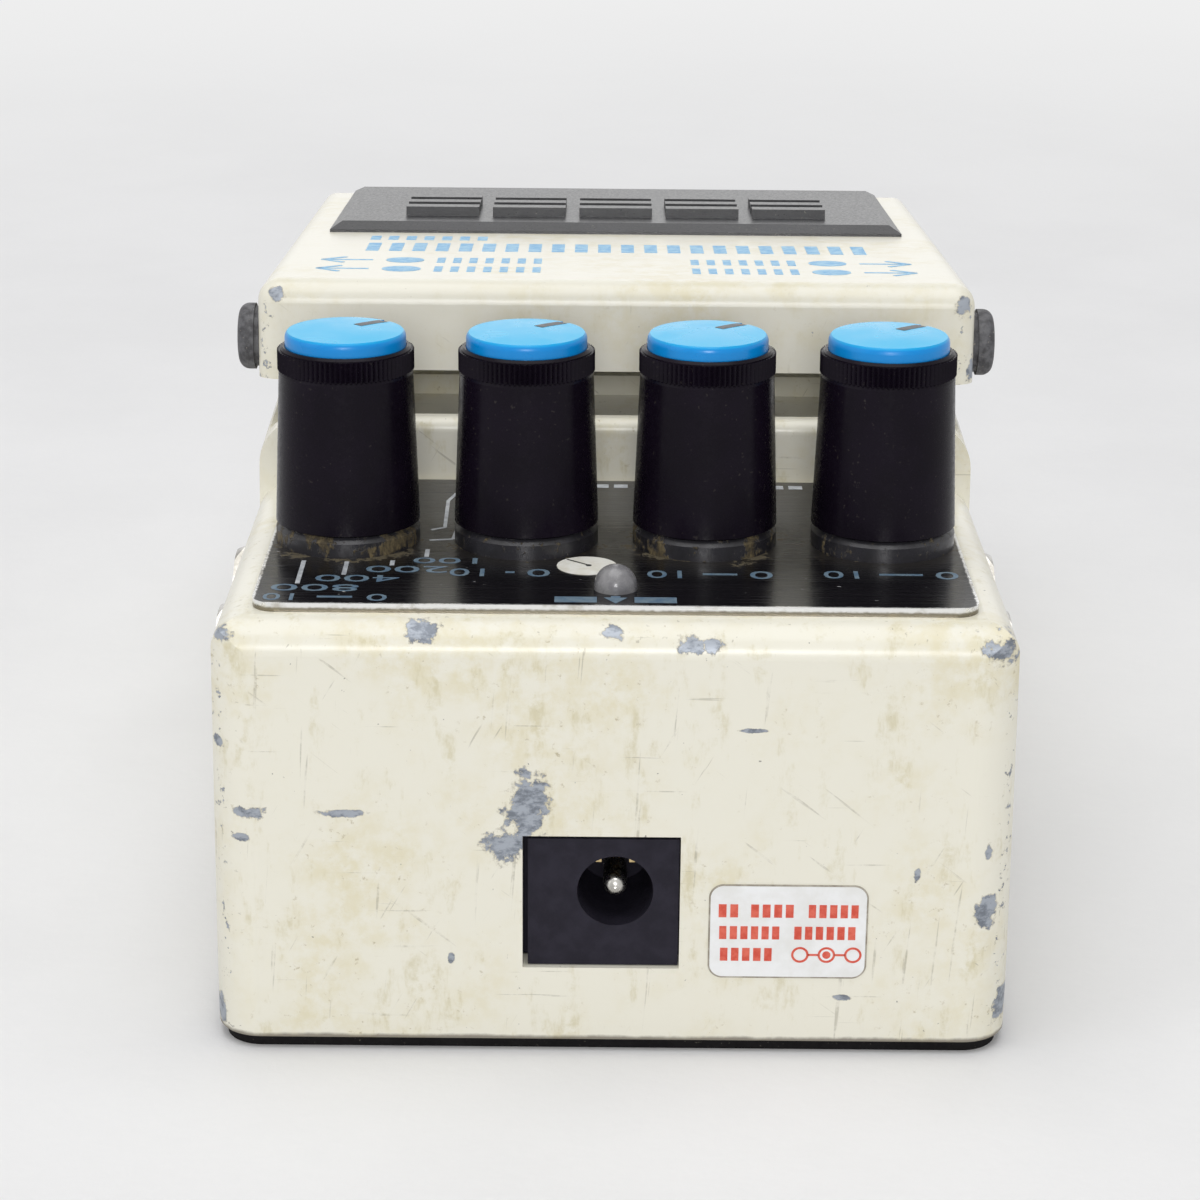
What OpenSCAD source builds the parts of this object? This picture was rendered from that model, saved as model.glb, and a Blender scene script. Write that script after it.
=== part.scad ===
// Compact digital delay foot pedal, built as separate named pieces.
// Millimetres. +Z is up, the rear face with the power socket looks to +Y, the player stands at -Y.
// u is the depth measured forward from the rear face, so y = rear_y - u.

/* [Body] */
// Overall width over the hinge caps and the jacks
over_w = 73; // [70:0.1:80]
// Distance the hinge caps and the jack nuts stand out past the housing's sides
side_out = 1.7; // [1.2:0.1:2.2]
// Depth of the housing in front of the battery, for the spring and the thumbscrew
front_room = 33.8; // [33:0.1:44]
// Wall thickness of the casting
wall = 2.6; // [2:0.1:3.2]
// Lean of the side walls in degrees
draft = 1.0; // [0:0.1:1.4]
// Radius of the upright corners
corner_r = 4; // [2:0.5:6]
// Radius along the top rear edge and the side edges of the control block
edge_r = 2.8; // [1:0.1:3.5]
// Distance from the hinge axis to the partition behind the battery bay
partition_in = 6.1; // [5.5:0.1:7.5]
// Thickness of the battery bay floor
floor_t = 2; // [1.5:0.1:3]

/* [Base] */
// Thickness of the rubber sole
sole_t = 1.2; // [0.8:0.1:2]
// Thickness of the steel base plate
base_t = 1.0; // [0.8:0.1:1.5]
// Width of the housing's bottom rim around the base plate
rim_w = 1.6; // [1.2:0.1:2]
// Inset of the sole from the housing's edge
sole_in = 0.7; // [0.5:0.1:1.5]
// Shank radius of the base screws
base_screw_r = 1.5; // [1.2:0.1:1.7]

/* [Control panel] */
// Height of the panel seat under the knob row
panel_z = 38.9; // [38:0.1:42]
// Tilt of the panel toward the player in degrees
panel_tilt = 3; // [0:0.5:5]
// Bare housing at each side of the printed plate
plate_side = 3.9; // [3.5:0.1:5.5]
// Depth of the printed plate
plate_d = 38.2; // [36:0.2:39]
// Thickness of the printed plate
plate_t = 0.8; // [0.5:0.1:1.2]
// Distance from the rear face to the rear edge of the plate
plate_u = 3.4; // [3:0.1:4]
// Thickness of the casting under the plate
deck_t = 2.4; // [1.8:0.1:2.8]
// Depth of the knob row from the rear face
knob_u = 22.4; // [21:0.1:24]
// Distance from the plate's front edge to the step behind the treadle
step_in = 0.8; // [0.4:0.1:1.4]
// Height of the step's rear lip
step_z = 44.4; // [44:0.1:45.4]
// Depth of the lamp from the rear face
lamp_u = 8.2; // [7.5:0.1:9.5]
// Radius of the lamp dome
lamp_r = 1.85; // [1.4:0.05:2.2]

/* [Knobs] */
// Distance from the plate's side edges to the outer knobs
knob_side = 6.9; // [6.7:0.1:8]
// Radius of the skirt at its foot
knob_foot_r = 6.45; // [5.8:0.05:6.8]
// Radius of the skirt under the ring
knob_neck_r = 5.95; // [5.6:0.05:6.4]
// Radius of the grip ring
knob_ring_r = 6.05; // [5.8:0.05:6.6]
// Height of the knob top over the plate
knob_h = 19.35; // [17:0.05:21]
// Height of the grip ring
knob_ring_h = 2.1; // [1.5:0.1:3]
// Number of teeth round the grip ring
knob_teeth = 80; // [60:1:100]
// Radius of the coloured cap
cap_r = 5.36; // [4.8:0.02:5.5]
// Height of the cap over the ring
cap_h = 1.5; // [1:0.1:2.5]
// Rise of the cap's domed top
cap_dome = 0.25; // [0.1:0.05:0.4]
// Width of the pointer groove in the cap
pointer_w = 0.8; // [0.5:0.1:1.2]
// Direction of the pointers with every control at its low end, in degrees
pointer_a = -132; // [-180:1:180]
// Height of the rubber seal under each knob
seal_h = 1.8; // [1.2:0.1:2.2]
// Radius of the control shafts
shaft_r = 3.0; // [2.4:0.05:3.0]

/* [Treadle] */
// Distance from the step to the hinge axis
hinge_in = 8.5; // [8:0.1:9.1]
// Height of the hinge axis
hinge_z = 50.1; // [50:0.1:52]
// Slope of the treadle down to the front in degrees
slope = 7.5; // [6:0.1:8.5]
// Inset of the treadle from the housing's sides
treadle_in = 0.5; // [0.3:0.1:1]
// Height of the treadle top over the hinge axis
treadle_top = 6.2; // [5.6:0.1:6.8]
// Depth of the skirts under the hinge axis
treadle_skirt = 3.3; // [2.8:0.1:3.4]
// Thickness of the treadle top
treadle_t = 1.9; // [1.6:0.1:2]
// Thickness of the treadle skirts
skirt_t = 2.3; // [1.8:0.1:2.5]
// Radius along the treadle's rear and side edges
treadle_r = 2.2; // [1:0.1:2.6]
// Bare treadle at each side of the rubber pad
pad_side = 4.0; // [3:0.1:6]
// Depth of the rubber pad
pad_d = 36.4; // [32:0.1:40]
// Thickness of the rubber pad
pad_t = 1.0; // [0.8:0.1:1.6]
// Distance from the treadle's front edge to the pad
pad_in = 3.5; // [2.5:0.1:6]
// Height of the grip bars on the pad
bar_h = 1.0; // [0.6:0.1:1.4]

/* [Hinge] */
// Radius of the hinge shaft
pivot_r = 1.5; // [1.2:0.05:1.6]
// Radius of the rubber hinge caps
hinge_cap_r = 3.2; // [2.8:0.1:3.8]
// Distance of the lugs from the treadle's sides
lug_in = 8.8; // [8:0.1:12]
// Room between the lugs and the treadle's rear wall
hinge_room = 0.5; // [0.4:0.05:0.7]

/* [Thumbscrew] */
// Radius of the thumbscrew head
thumb_r = 6; // [5:0.1:6.5]
// Length of the thumbscrew head
thumb_l = 7; // [5:0.1:8]
// Number of teeth round the thumbscrew head
thumb_teeth = 48; // [36:1:60]
// Radius of the thumbscrew shank
thumb_shank_r = 2.0; // [1.5:0.1:2.2]
// Distance the thumbscrew is backed out at rest
thumb_out = 4.5; // [4:0.1:5]
// Length of the thumbscrew's pin past the tab
pin_l = 6.8; // [6.6:0.1:7.2]

/* [Spring and switch] */
// Wire radius of the return spring
wire_r = 0.6; // [0.4:0.05:0.7]
// Mean coil radius of the return spring
coil_r = 5.2; // [4.8:0.1:5.6]
// Number of coils
coils = 7; // [6:1:8]
// Distance of the spring and the switch from the front face
spring_in = 24.2; // [23.2:0.1:24.7]
// Radius of the switch plunger
plunger_r = 2.5; // [2:0.1:3]
// Distance of the switch from the treadle's side
switch_in = 11.3; // [10.5:0.1:13]

/* [Jacks] */
// Bore radius for a quarter-inch plug
jack_bore_r = 3.2; // [3.2:0.05:3.3]
// Depth of the plug bore
jack_depth = 30; // [26:0.5:31]
// Radius of the threaded bush
jack_bush_r = 4.7; // [4.4:0.1:4.8]
// Height of the jacks
jack_z = 24.8; // [24:0.1:25.2]
// Depth of the rear pair of jacks
jack_u = 26; // [25.5:0.1:26.5]
// Distance from the rear pair to the front pair
jack_pitch = 15; // [14.5:0.1:15.5]

/* [Power socket] */
// Sideways place of the socket housing
socket_x = 1.0; // [0:0.1:2]
// Height of the socket's middle
socket_z = 14.5; // [14:0.1:15]
// Width of the socket housing
socket_w = 13.4; // [12:0.1:14]
// Height of the socket housing
socket_h = 12.4; // [11:0.1:12.8]
// Radius of the plug hole
socket_hole_r = 3.3; // [2.9:0.05:3.4]
// Radius of the centre pin
socket_pin_r = 1.05; // [0.8:0.05:1.25]
// Gap over and beside the socket in its cut-out
socket_room = 0.35; // [0.2:0.05:0.5]

/* [Battery] */
// Length of the battery
batt_l = 48.5; // [46:0.1:49]
// Width of the battery
batt_w = 26.5; // [25:0.1:27]
// Thickness of the battery
batt_h = 17.5; // [15:0.1:18]

/* [Clearances] */
// Radial gap of shafts that turn or slide in a bore
run_gap = 0.05; // [0.02:0.01:0.1]
// Gap between neighbouring pieces that do not touch
free_gap = 0.3; // [0.2:0.05:0.4]

/* [Hidden] */
$fn = 48;

// Widths from the overall width, depths as a chain of zones from the rear face
body_w = over_w - 2 * side_out;
plate_w = body_w - 2 * plate_side;
knob_pitch = (plate_w - 2 * knob_side) / 3;
treadle_w = body_w - 2 * treadle_in;
pad_w = treadle_w - 2 * pad_side;
lug_x = treadle_w / 2 - lug_in;
switch_x = treadle_w / 2 - switch_in;
batt_room = 1.6;
step_u = plate_u + plate_d + step_in;
hinge_u = step_u + hinge_in;
partition_u = hinge_u + partition_in;
bay_u = partition_u + wall;
batt_u = bay_u + batt_room;
body_d = batt_u + batt_w + front_room;

head_gap = 0.5;
low_z = sole_t;
plate_top_z = low_z + base_t;
bay_floor_z = plate_top_z + floor_t;
in_w = body_w - 2 * wall - 0.4;
front_in_u = body_d - wall;

// The tilted panel seat, and the height of it at depth u
function seat_z(u) = panel_z - (u - knob_u) * tan(panel_tilt);
fillet_z = seat_z(edge_r) - edge_r / cos(panel_tilt);

// Slope lost at the end of the press, and the top edge of the walls under the pressed treadle
press = 0.044;
rim_gap = 3.6;
function rim_z(u) = hinge_z - treadle_skirt - (u - hinge_u) * (tan(slope) + press) - rim_gap;

// The treadle's own frame: t runs forward along the slope, n stands square on it
treadle_front = (body_d - hinge_u) / cos(slope);
function tz(t, n) = hinge_z - t * sin(slope) + n * cos(slope);
function tu(t, n) = hinge_u + t * cos(slope) + n * sin(slope);
under_n = treadle_top - treadle_t;

// The lugs fit under the treadle's top, and its rear wall swings round them clear of the deck
lug_r = pivot_r + 1.3;
lug_w = 4.4;
treadle_rear = lug_r + hinge_room + skirt_t;
sweep_r = norm([treadle_rear, treadle_skirt]);
deck_z = hinge_z - sweep_r - 1.2;
rise_u = hinge_u + sweep_r + 0.6;

// The thumbscrew's line, the overall depth with it backed out, its tab and the notch in the front wall
thumb_n = -treadle_skirt - 2.1;
over_d = tu(treadle_front + head_gap + thumb_out + thumb_l, thumb_n + thumb_r - 0.6);
rear_y = over_d / 2;
tab_n = thumb_n - thumb_shank_r - 1.6;
tab_w = 17;
tab_t = 3.2;
clip_t = 0.7;
tip_t = treadle_front - tab_t - pin_l;
notch_z = tz(treadle_front, tab_n) - (body_d - hinge_u) * press - 0.9;
post_top_z = tz(tip_t, thumb_n) - (body_d - hinge_u) * press - thumb_shank_r - 2.0;
bush_d = 4.4;
bush_u = tu(tip_t, thumb_n) - free_gap - bush_d;

// The spring and the foot switch
spring_x = 0;
seat_r = coil_r + wire_r + 1.2;
spring_u = body_d - spring_in;
lever = (spring_u + 0.6 - hinge_u - under_n * sin(slope)) / cos(slope);
spring_post_z = 15.5;
spring_low = spring_post_z + 2;
spring_cup_z = tz(lever, under_n) - 4.6;
spring_len = spring_cup_z - spring_low;
push_r = 3;
push_n = -6;
push_z = tz(lever, push_n) - push_r;
push_u = tu(lever, push_n);
plunger_top = push_z - 0.1;
switch_z = plunger_top - 5.5;
switch_h = 9;
switch_w = 11;

// Knob heights in the panel frame, counted from the panel seat
knob_low = plate_t + seal_h + 0.2;
knob_top = plate_t + knob_h;
ring_top = knob_top - cap_h;
ring_low = ring_top - knob_ring_h;
pot_h = 4.8;
pot_low = -deck_t - pot_h;
board_t = 1.0;
bush_r = shaft_r + 0.5;
shaft_low = -deck_t - 1.5;
shaft_top = 13;

// Main board and what stands on it
board_z = 9;
board_top = board_z + board_t + 0.6;
board_u = 9.6;
board_end_u = partition_u - 2;
board_w = in_w - 1.4;
base_post_u = [wall + 3.6, front_in_u - 3.4];
base_post_x = in_w / 2 - 2.6;
socket_back = 12.4;
spot_x = body_w / 2 - (jack_z - low_z) * tan(draft) - 0.35;
washer_t = 0.5;
nut_t = over_w / 2 - 0.1 - spot_x - washer_t;
jack_in = over_w / 2 - jack_depth;
jack_body_w = 2 * jack_bush_r + 3;
jack_body_h = 2 * jack_bore_r + 3.6;
jack_end = 1.6;
ribbon_u = jack_u + jack_pitch / 2;
chip_u = board_end_u - 14;
chip_w = 0.224 * board_w;
cap_u = board_u + 15.4;

// Battery place
foam_t = 1;
batt_gap = 0.6;
snap_t = 2.4;
stud_h = 2.6;
batt_x = -in_w / 2 + batt_gap;
batt_z = bay_floor_z + foam_t;
term_x = batt_x + batt_l;
lead_r = 0.65;
lead_bend = 1.0;
lead_x = term_x + stud_h + snap_t + lead_bend + 0.2;
lead_u = batt_u + 9;
lead_end_u = board_end_u - 4;

// Posts under the deck for the main board's screws, the front pair clear of the leads
board_posts = [[in_w / 2 - 3, board_u + 3.4], [lead_x - 6, board_end_u - 3.2]];

// Least distance between the spring's own coils, less the wire
end_pitch = 2 * wire_r + 0.5;
mid_pitch = (spring_len - 2 * wire_r - 0.04 - 2 * end_pitch) / (coils - 2);
echo(spring_self_gap = min(end_pitch, mid_pitch) - 2 * wire_r);

// Moves children from depth u to the model's y
module at_u(u) {
  translate([0, rear_y - u, 0]) children();
}

// Draws a profile given in (u, z) and runs it across the width w
module across(w) {
  translate([w / 2, rear_y, 0]) rotate([90, 0, -90]) linear_extrude(w) children();
}

// Places children in the tilted panel frame, at the knob row on the seat
module on_panel() {
  translate([0, rear_y - knob_u, panel_z]) rotate([panel_tilt, 0, 0]) children();
}

// Places children in the treadle's frame, where -y is forward along the slope
module on_treadle() {
  translate([0, rear_y - hinge_u, hinge_z]) rotate([slope, 0, 0]) children();
}

// Rectangle with round corners, in the middle of the plane
module round_rect(w, d, r) {
  square([w - 2 * r, d], center = true);
  square([w, d - 2 * r], center = true);
  for (x = [-1, 1], y = [-1, 1]) translate([x * (w / 2 - r), y * (d / 2 - r)]) circle(r);
}

// Outline of a straight knurl, one pointed tooth after another
module knurl(r, teeth, depth) {
  polygon([for (i = [0:2 * teeth - 1]) (r - depth * (i % 2)) * [cos(180 * i / teeth), sin(180 * i / teeth)]]);
}

// Both sides of the body
module both() {
  for (s = [0, 1]) mirror([s, 0, 0]) children();
}

// Outline of the body seen from above, run up from the bottom edge
module plan_block(h) {
  at_u(body_d / 2) translate([0, 0, low_z]) linear_extrude(h) round_rect(body_w, body_d, corner_r);
}

// Section of the control block with leaning sides and round top edges, top at 0
module block_section(top_half, r) {
  drop = 60;
  lean = drop * tan(draft);
  union() {
    polygon([[-top_half + r, 0], [top_half - r, 0], [top_half, -r], [top_half + lean, -drop],
      [-top_half - lean, -drop], [-top_half, -r]]);
    for (s = [-1, 1]) translate([s * (top_half - r), -r]) circle(r);
  }
}

// Control block at the back of the housing
module rear_block() {
  top_half = body_w / 2 - (panel_z - low_z) * tan(draft);
  intersection() {
    plan_block(60);
    across(body_w + 4) {
      polygon([[0, low_z], [0, fillet_z], [edge_r * (1 + sin(panel_tilt)), fillet_z + edge_r * cos(panel_tilt)],
        [step_u + 3, seat_z(step_u + 3)], [step_u + 3, low_z]]);
      translate([edge_r, fillet_z]) circle(edge_r);
    }
    on_panel() translate([0, 90, 0]) rotate([90, 0, 0]) linear_extrude(180) block_section(top_half, edge_r);
  }
}

// Step, hinge deck and battery box in front of the control block
module front_block() {
  lip = 1.2;
  top_half = body_w / 2 - (step_z - low_z) * tan(draft);
  intersection() {
    plan_block(60);
    across(body_w + 4) {
      polygon([[step_u, low_z], [step_u, step_z - lip], [step_u + lip, step_z], [step_u + 2, step_z],
        [step_u + 2, deck_z], [rise_u, deck_z], [rise_u, rim_z(rise_u)], [body_d, rim_z(body_d)], [body_d, low_z]]);
      translate([step_u + lip, step_z - lip]) circle(lip);
    }
    translate([0, rear_y + 10, step_z]) rotate([90, 0, 0]) linear_extrude(200) block_section(top_half, 1.6 * edge_r);
  }
}

// Lug that carries the hinge shaft inside the treadle, leaning forward so that the rear wall swings past it
module lug() {
  drop = hinge_z - deck_z + 1;
  translate([lug_x + lug_w / 2, rear_y - hinge_u, hinge_z]) rotate([90, 0, -90]) linear_extrude(lug_w) {
    circle(lug_r);
    polygon([[0, lug_r], [lug_r * 0.8, lug_r * 0.6], [drop + 1, -drop], [drop * 0.57, -drop], [lug_r * 0.3, -lug_r * 0.95]]);
  }
}

module chassis() {
  color([0.92, 0.9, 0.8]) difference() {
    union() {
      difference() {
        union() {
          rear_block();
          front_block();
        }
        // electronics bay, open below
        intersection() {
          translate([-in_w / 2, rear_y - partition_u, low_z - 1]) cube([in_w, partition_u - wall, 60]);
          on_panel() translate([-60, -80, -80 - deck_t]) cube([120, 160, 80]);
        }
        translate([-in_w / 2 + 2, rear_y - partition_u + 2.4, plate_top_z])
          cube([in_w - 4, partition_u - step_u - 5, deck_z - 2.4 - plate_top_z]);
        // battery bay, open above
        translate([-in_w / 2, rear_y - front_in_u, bay_floor_z]) cube([in_w, front_in_u - bay_u, 60]);
        // seat of the base plate
        at_u(body_d / 2) translate([0, 0, low_z - 1]) linear_extrude(1 + base_t)
          round_rect(body_w - 2 * rim_w, body_d - 2 * rim_w, corner_r - rim_w);
        // notch in the front wall for the treadle's tab and the thumbscrew's head
        translate([-tab_w / 2 - 1, rear_y - body_d - 1, notch_z]) cube([tab_w + 2, wall + 2, 60]);
        translate([0, rear_y - body_d + wall + 1, tz(treadle_front, thumb_n) - (body_d - hinge_u) * press])
          rotate([90, 0, 0]) cylinder(r = thumb_r + 0.8, h = wall + 2);
      }
      both() lug();
      // low wall across the front of the hinge deck
      translate([4 - in_w / 2, rear_y - bay_u + 0.2, deck_z - 1]) cube([in_w - 8, wall - 0.4, 3]);
      // posts for the base screws, the rear ones reach the deck
      both() translate([base_post_x, rear_y - base_post_u[0], plate_top_z])
        cylinder(r = 2 * base_screw_r, h = seat_z(base_post_u[0]) - edge_r - plate_top_z);
      both() translate([base_post_x, rear_y - base_post_u[1], plate_top_z]) cylinder(r = 2 * base_screw_r, h = 10);
      // posts for the main board
      both() for (p = board_posts) translate([p[0], rear_y - p[1], board_top])
        cylinder(r = 2.2, h = (p[1] < step_u ? seat_z(p[1]) : deck_z) - 1.2 - board_top);
      // spring post, switch post and guide post
      translate([spring_x, rear_y - spring_u, bay_floor_z]) cylinder(r = seat_r, h = spring_post_z - bay_floor_z);
      translate([switch_x - 6, rear_y - push_u - 6, bay_floor_z]) cube([12, 12, switch_z - switch_h - bay_floor_z]);
      translate([-5.5, rear_y - bush_u - bush_d, bay_floor_z]) cube([11, bush_d, post_top_z - bay_floor_z]);
    }
    // hinge bore
    translate([-40, rear_y - hinge_u, hinge_z]) rotate([0, 90, 0]) cylinder(r = pivot_r + run_gap, h = 80);
    // holes of the control shafts and the lamp
    on_panel() {
      for (i = [-1.5:1:1.5]) translate([i * knob_pitch, 0, -20]) cylinder(r = bush_r + free_gap, h = 30);
      translate([0, knob_u - lamp_u, -20]) cylinder(r = lamp_r + run_gap, h = 30);
    }
    // jack holes with flat spot faces
    both() for (u = [jack_u, jack_u + jack_pitch]) translate([0, rear_y - u, jack_z]) rotate([0, 90, 0]) {
      translate([0, 0, in_w / 2 - 1]) cylinder(r = jack_bush_r + free_gap, h = 20);
      translate([0, 0, spot_x]) cylinder(r = jack_bush_r + 2.9, h = 10);
    }
    // power socket cut-out
    translate([socket_x - socket_w / 2 - 0.1, rear_y - wall - 1, socket_z - socket_h / 2 - 0.1])
      cube([socket_w + 0.2, wall + 2, socket_h + 0.2]);
    // screw holes
    both() for (u = base_post_u) translate([base_post_x, rear_y - u, low_z]) cylinder(r = base_screw_r + run_gap, h = 9);
    both() for (p = board_posts) translate([p[0], rear_y - p[1], board_z]) cylinder(r = 1 + run_gap, h = 7);
    // passage for the battery leads
    translate([lead_x - 2, rear_y - bay_u - 1, batt_z + 3]) cube([4, wall + 2, 10]);
  }
}

module base_plate() {
  color([0.72, 0.73, 0.75]) difference() {
    at_u(body_d / 2) translate([0, 0, low_z]) linear_extrude(base_t)
      round_rect(body_w - 2 * rim_w - 0.4, body_d - 2 * rim_w - 0.4, corner_r - rim_w);
    both() for (u = base_post_u) translate([base_post_x, rear_y - u, 0]) cylinder(r = base_screw_r + run_gap, h = 9);
  }
}

module base_rubber() {
  color([0.1, 0.1, 0.1]) difference() {
    at_u(body_d / 2) linear_extrude(sole_t)
      round_rect(body_w - 2 * sole_in, body_d - 2 * sole_in, corner_r - sole_in);
    both() for (u = base_post_u) translate([base_post_x, rear_y - u, -1]) cylinder(r = base_screw_r + 1.4, h = 9);
  }
}

module base_screws() {
  color([0.6, 0.6, 0.62]) both() for (u = base_post_u) translate([base_post_x, rear_y - u, 0]) difference() {
    union() {
      translate([0, 0, 0.3]) cylinder(r = base_screw_r + 1, h = low_z - 0.3);
      translate([0, 0, low_z - 0.1]) cylinder(r = base_screw_r, h = 7);
    }
    for (a = [0, 90]) rotate([0, 0, a]) translate([-1.5, -0.25, 0]) cube([3, 0.5, 0.75]);
  }
}

module insulator_sheet() {
  color([0.8, 0.75, 0.55]) at_u(board_u + (board_end_u - board_u) / 2) translate([0, 0, plate_top_z])
    linear_extrude(0.3) round_rect(in_w - 8, board_end_u - board_u - 1, 2);
}

module control_panel() {
  color([0.08, 0.08, 0.09]) on_panel() difference() {
    translate([0, knob_u - plate_u - plate_d / 2, 0]) linear_extrude(plate_t) round_rect(plate_w, plate_d, 2);
    for (i = [-1.5:1:1.5]) translate([i * knob_pitch, 0, -1]) cylinder(r = bush_r + free_gap, h = 3);
    translate([0, knob_u - lamp_u, -1]) cylinder(r = lamp_r + run_gap, h = 3);
  }
}

module knob_seals() {
  color([0.32, 0.33, 0.35]) on_panel() for (i = [-1.5:1:1.5]) translate([i * knob_pitch, 0, plate_t])
    rotate_extrude() polygon([[bush_r + free_gap, 0], [knob_foot_r, 0], [knob_foot_r, seal_h - 0.5],
      [knob_foot_r - 0.4, seal_h], [bush_r + free_gap, seal_h]]);
}

// Control with a square body under the deck and a bush through it
module control_body(w, d) {
  on_panel() difference() {
    union() {
      translate([-w / 2, -d / 2, pot_low]) cube([w, d, pot_h]);
      translate([0, 0, -deck_t - 0.5]) cylinder(r = bush_r, h = deck_t + plate_t + 1.2);
      for (i = [-1:1:1]) translate([i * 2.5 - 0.4, -d / 2 - 1.2, pot_low]) cube([0.8, 2, 0.6]);
    }
    translate([0, 0, shaft_low - 0.2]) cylinder(r = shaft_r + run_gap, h = 20);
  }
}

module pot_level() {
  color([0.55, 0.56, 0.58]) translate([-1.5 * knob_pitch, 0, 0]) control_body(0.625 * knob_pitch, 0.65 * knob_pitch);
}

module pot_feedback() {
  color([0.55, 0.56, 0.58]) translate([-0.5 * knob_pitch, 0, 0]) control_body(0.625 * knob_pitch, 0.65 * knob_pitch);
}

module pot_time() {
  color([0.55, 0.56, 0.58]) translate([0.5 * knob_pitch, 0, 0]) control_body(0.625 * knob_pitch, 0.65 * knob_pitch);
}

module mode_switch() {
  color([0.25, 0.3, 0.42]) translate([1.5 * knob_pitch, 0, 0]) control_body(0.7 * knob_pitch, 0.7 * knob_pitch);
}

module control_board() {
  color([0.16, 0.36, 0.2]) on_panel() difference() {
    union() {
      translate([-in_w / 2 + 1.4, -8.4, pot_low - board_t]) cube([in_w - 2.8, 14.8, board_t]);
      translate([-4, knob_u - ribbon_u - 1.4, pot_low - board_t]) cube([8, ribbon_u - knob_u, board_t]);
      translate([-11, 6, pot_low - board_t]) cube([22, knob_u - lamp_u - 3.4, board_t]);
    }
    for (s = [-1, 1]) translate([s * 13.5, 3, pot_low - 3]) cylinder(r = 1, h = 6);
  }
}

module lamp_lens() {
  color([0.75, 0.72, 0.72]) on_panel() translate([0, knob_u - lamp_u, 0]) {
    translate([0, 0, -3.5]) cylinder(r = lamp_r, h = 3.5 + plate_t + 0.3);
    translate([0, 0, plate_t + 0.3]) sphere(lamp_r);
  }
}

module lamp_holder() {
  color([0.12, 0.12, 0.12]) on_panel() translate([0, knob_u - lamp_u, pot_low])
    cylinder(r = lamp_r + 0.6, h = -3.5 - pot_low);
}

module power_socket() {
  hole_x = -0.2;
  hole_z = socket_z + 0.9;
  color([0.06, 0.06, 0.07]) difference() {
    union() {
      translate([socket_x - socket_w / 2, rear_y - socket_back, socket_z - socket_h / 2])
        cube([socket_w - socket_room, socket_back - 0.5, socket_h - socket_room]);
      translate([socket_x - socket_w / 2 - 1.4, rear_y - wall - 1.6, socket_z - socket_h / 2])
        cube([socket_w + 2.8, 1.6, socket_h + 1.2]);
    }
    translate([hole_x, rear_y + 1, hole_z]) rotate([90, 0, 0]) cylinder(r = socket_hole_r, h = 10.5);
    translate([hole_x - 1.8, rear_y - 9.5, hole_z]) cube([3.6, 8.3, socket_hole_r + 0.8]);
  }
}

module power_pin() {
  color([0.8, 0.74, 0.55]) translate([-0.2, rear_y - 9.5, socket_z + 0.9]) rotate([-90, 0, 0]) {
    cylinder(r = socket_pin_r, h = 7.4);
    translate([0, 0, 7.4]) sphere(socket_pin_r);
  }
}

module power_contact() {
  color([0.8, 0.74, 0.55]) translate([-0.2, rear_y - 9.5, socket_z + 0.9 + socket_hole_r]) {
    translate([-1.7, 0, 0.3]) cube([3.4, 7.8, 0.4]);
    for (s = [-1, 1]) translate([s * 1.45 - 0.25, 0, -1.1]) cube([0.5, 7.8, 1.6]);
  }
}

// Jack body with the bush through the side wall, mouth to +X
module jack(u) {
  translate([0, rear_y - u, jack_z]) difference() {
    union() {
      translate([jack_in - jack_end, -jack_body_w / 2, -jack_body_h / 2])
        cube([in_w / 2 - jack_in + jack_end, jack_body_w, jack_body_h]);
      rotate([0, 90, 0]) translate([0, 0, in_w / 2 - 0.5]) cylinder(r = jack_bush_r, h = over_w / 2 - in_w / 2 + 0.5);
    }
    rotate([0, 90, 0]) translate([0, 0, jack_in]) cylinder(r = jack_bore_r, h = jack_depth + 1);
  }
}

module jack_in_a() {
  color([0.2, 0.2, 0.22]) jack(jack_u);
}

module jack_in_b() {
  color([0.2, 0.2, 0.22]) jack(jack_u + jack_pitch);
}

module jack_out_a() {
  color([0.2, 0.2, 0.22]) mirror([1, 0, 0]) jack(jack_u);
}

module jack_out_b() {
  color([0.2, 0.2, 0.22]) mirror([1, 0, 0]) jack(jack_u + jack_pitch);
}

module jack_washers() {
  color([0.75, 0.76, 0.78]) both() for (u = [jack_u, jack_u + jack_pitch])
    translate([spot_x, rear_y - u, jack_z]) rotate([0, 90, 0]) difference() {
      cylinder(r = jack_bush_r + 2.5, h = washer_t);
      translate([0, 0, -1]) cylinder(r = jack_bush_r + run_gap, h = 3);
    }
}

module jack_nuts() {
  color([0.7, 0.71, 0.73]) both() for (u = [jack_u, jack_u + jack_pitch])
    translate([spot_x + washer_t, rear_y - u, jack_z]) rotate([0, 90, 0]) difference() {
      intersection() {
        cylinder(r = jack_bush_r + 2.5, h = nut_t, $fn = 6);
        translate([0, 0, -4]) cylinder(r1 = jack_bush_r + 6, r2 = jack_bush_r + 1.8, h = nut_t + 4);
      }
      translate([0, 0, -1]) cylinder(r = jack_bush_r + run_gap, h = nut_t + 2);
    }
}

module main_board() {
  color([0.16, 0.36, 0.2]) difference() {
    translate([-board_w / 2, rear_y - board_end_u, board_z]) cube([board_w, board_end_u - board_u, board_t + 0.6]);
    translate([socket_x - socket_w / 2 - 2, rear_y - socket_back - 1.2, board_z - 1]) cube([socket_w + 4, 9, 5]);
    both() for (p = board_posts) translate([p[0], rear_y - p[1], board_z - 1]) cylinder(r = 1 + run_gap, h = 5);
  }
}

module board_screws() {
  color([0.6, 0.6, 0.62]) both() for (p = board_posts) translate([p[0], rear_y - p[1], board_z]) {
    translate([0, 0, -1]) cylinder(r = 1.9, h = 1);
    translate([0, 0, -0.2]) cylinder(r = 1, h = 6);
  }
}

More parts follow.
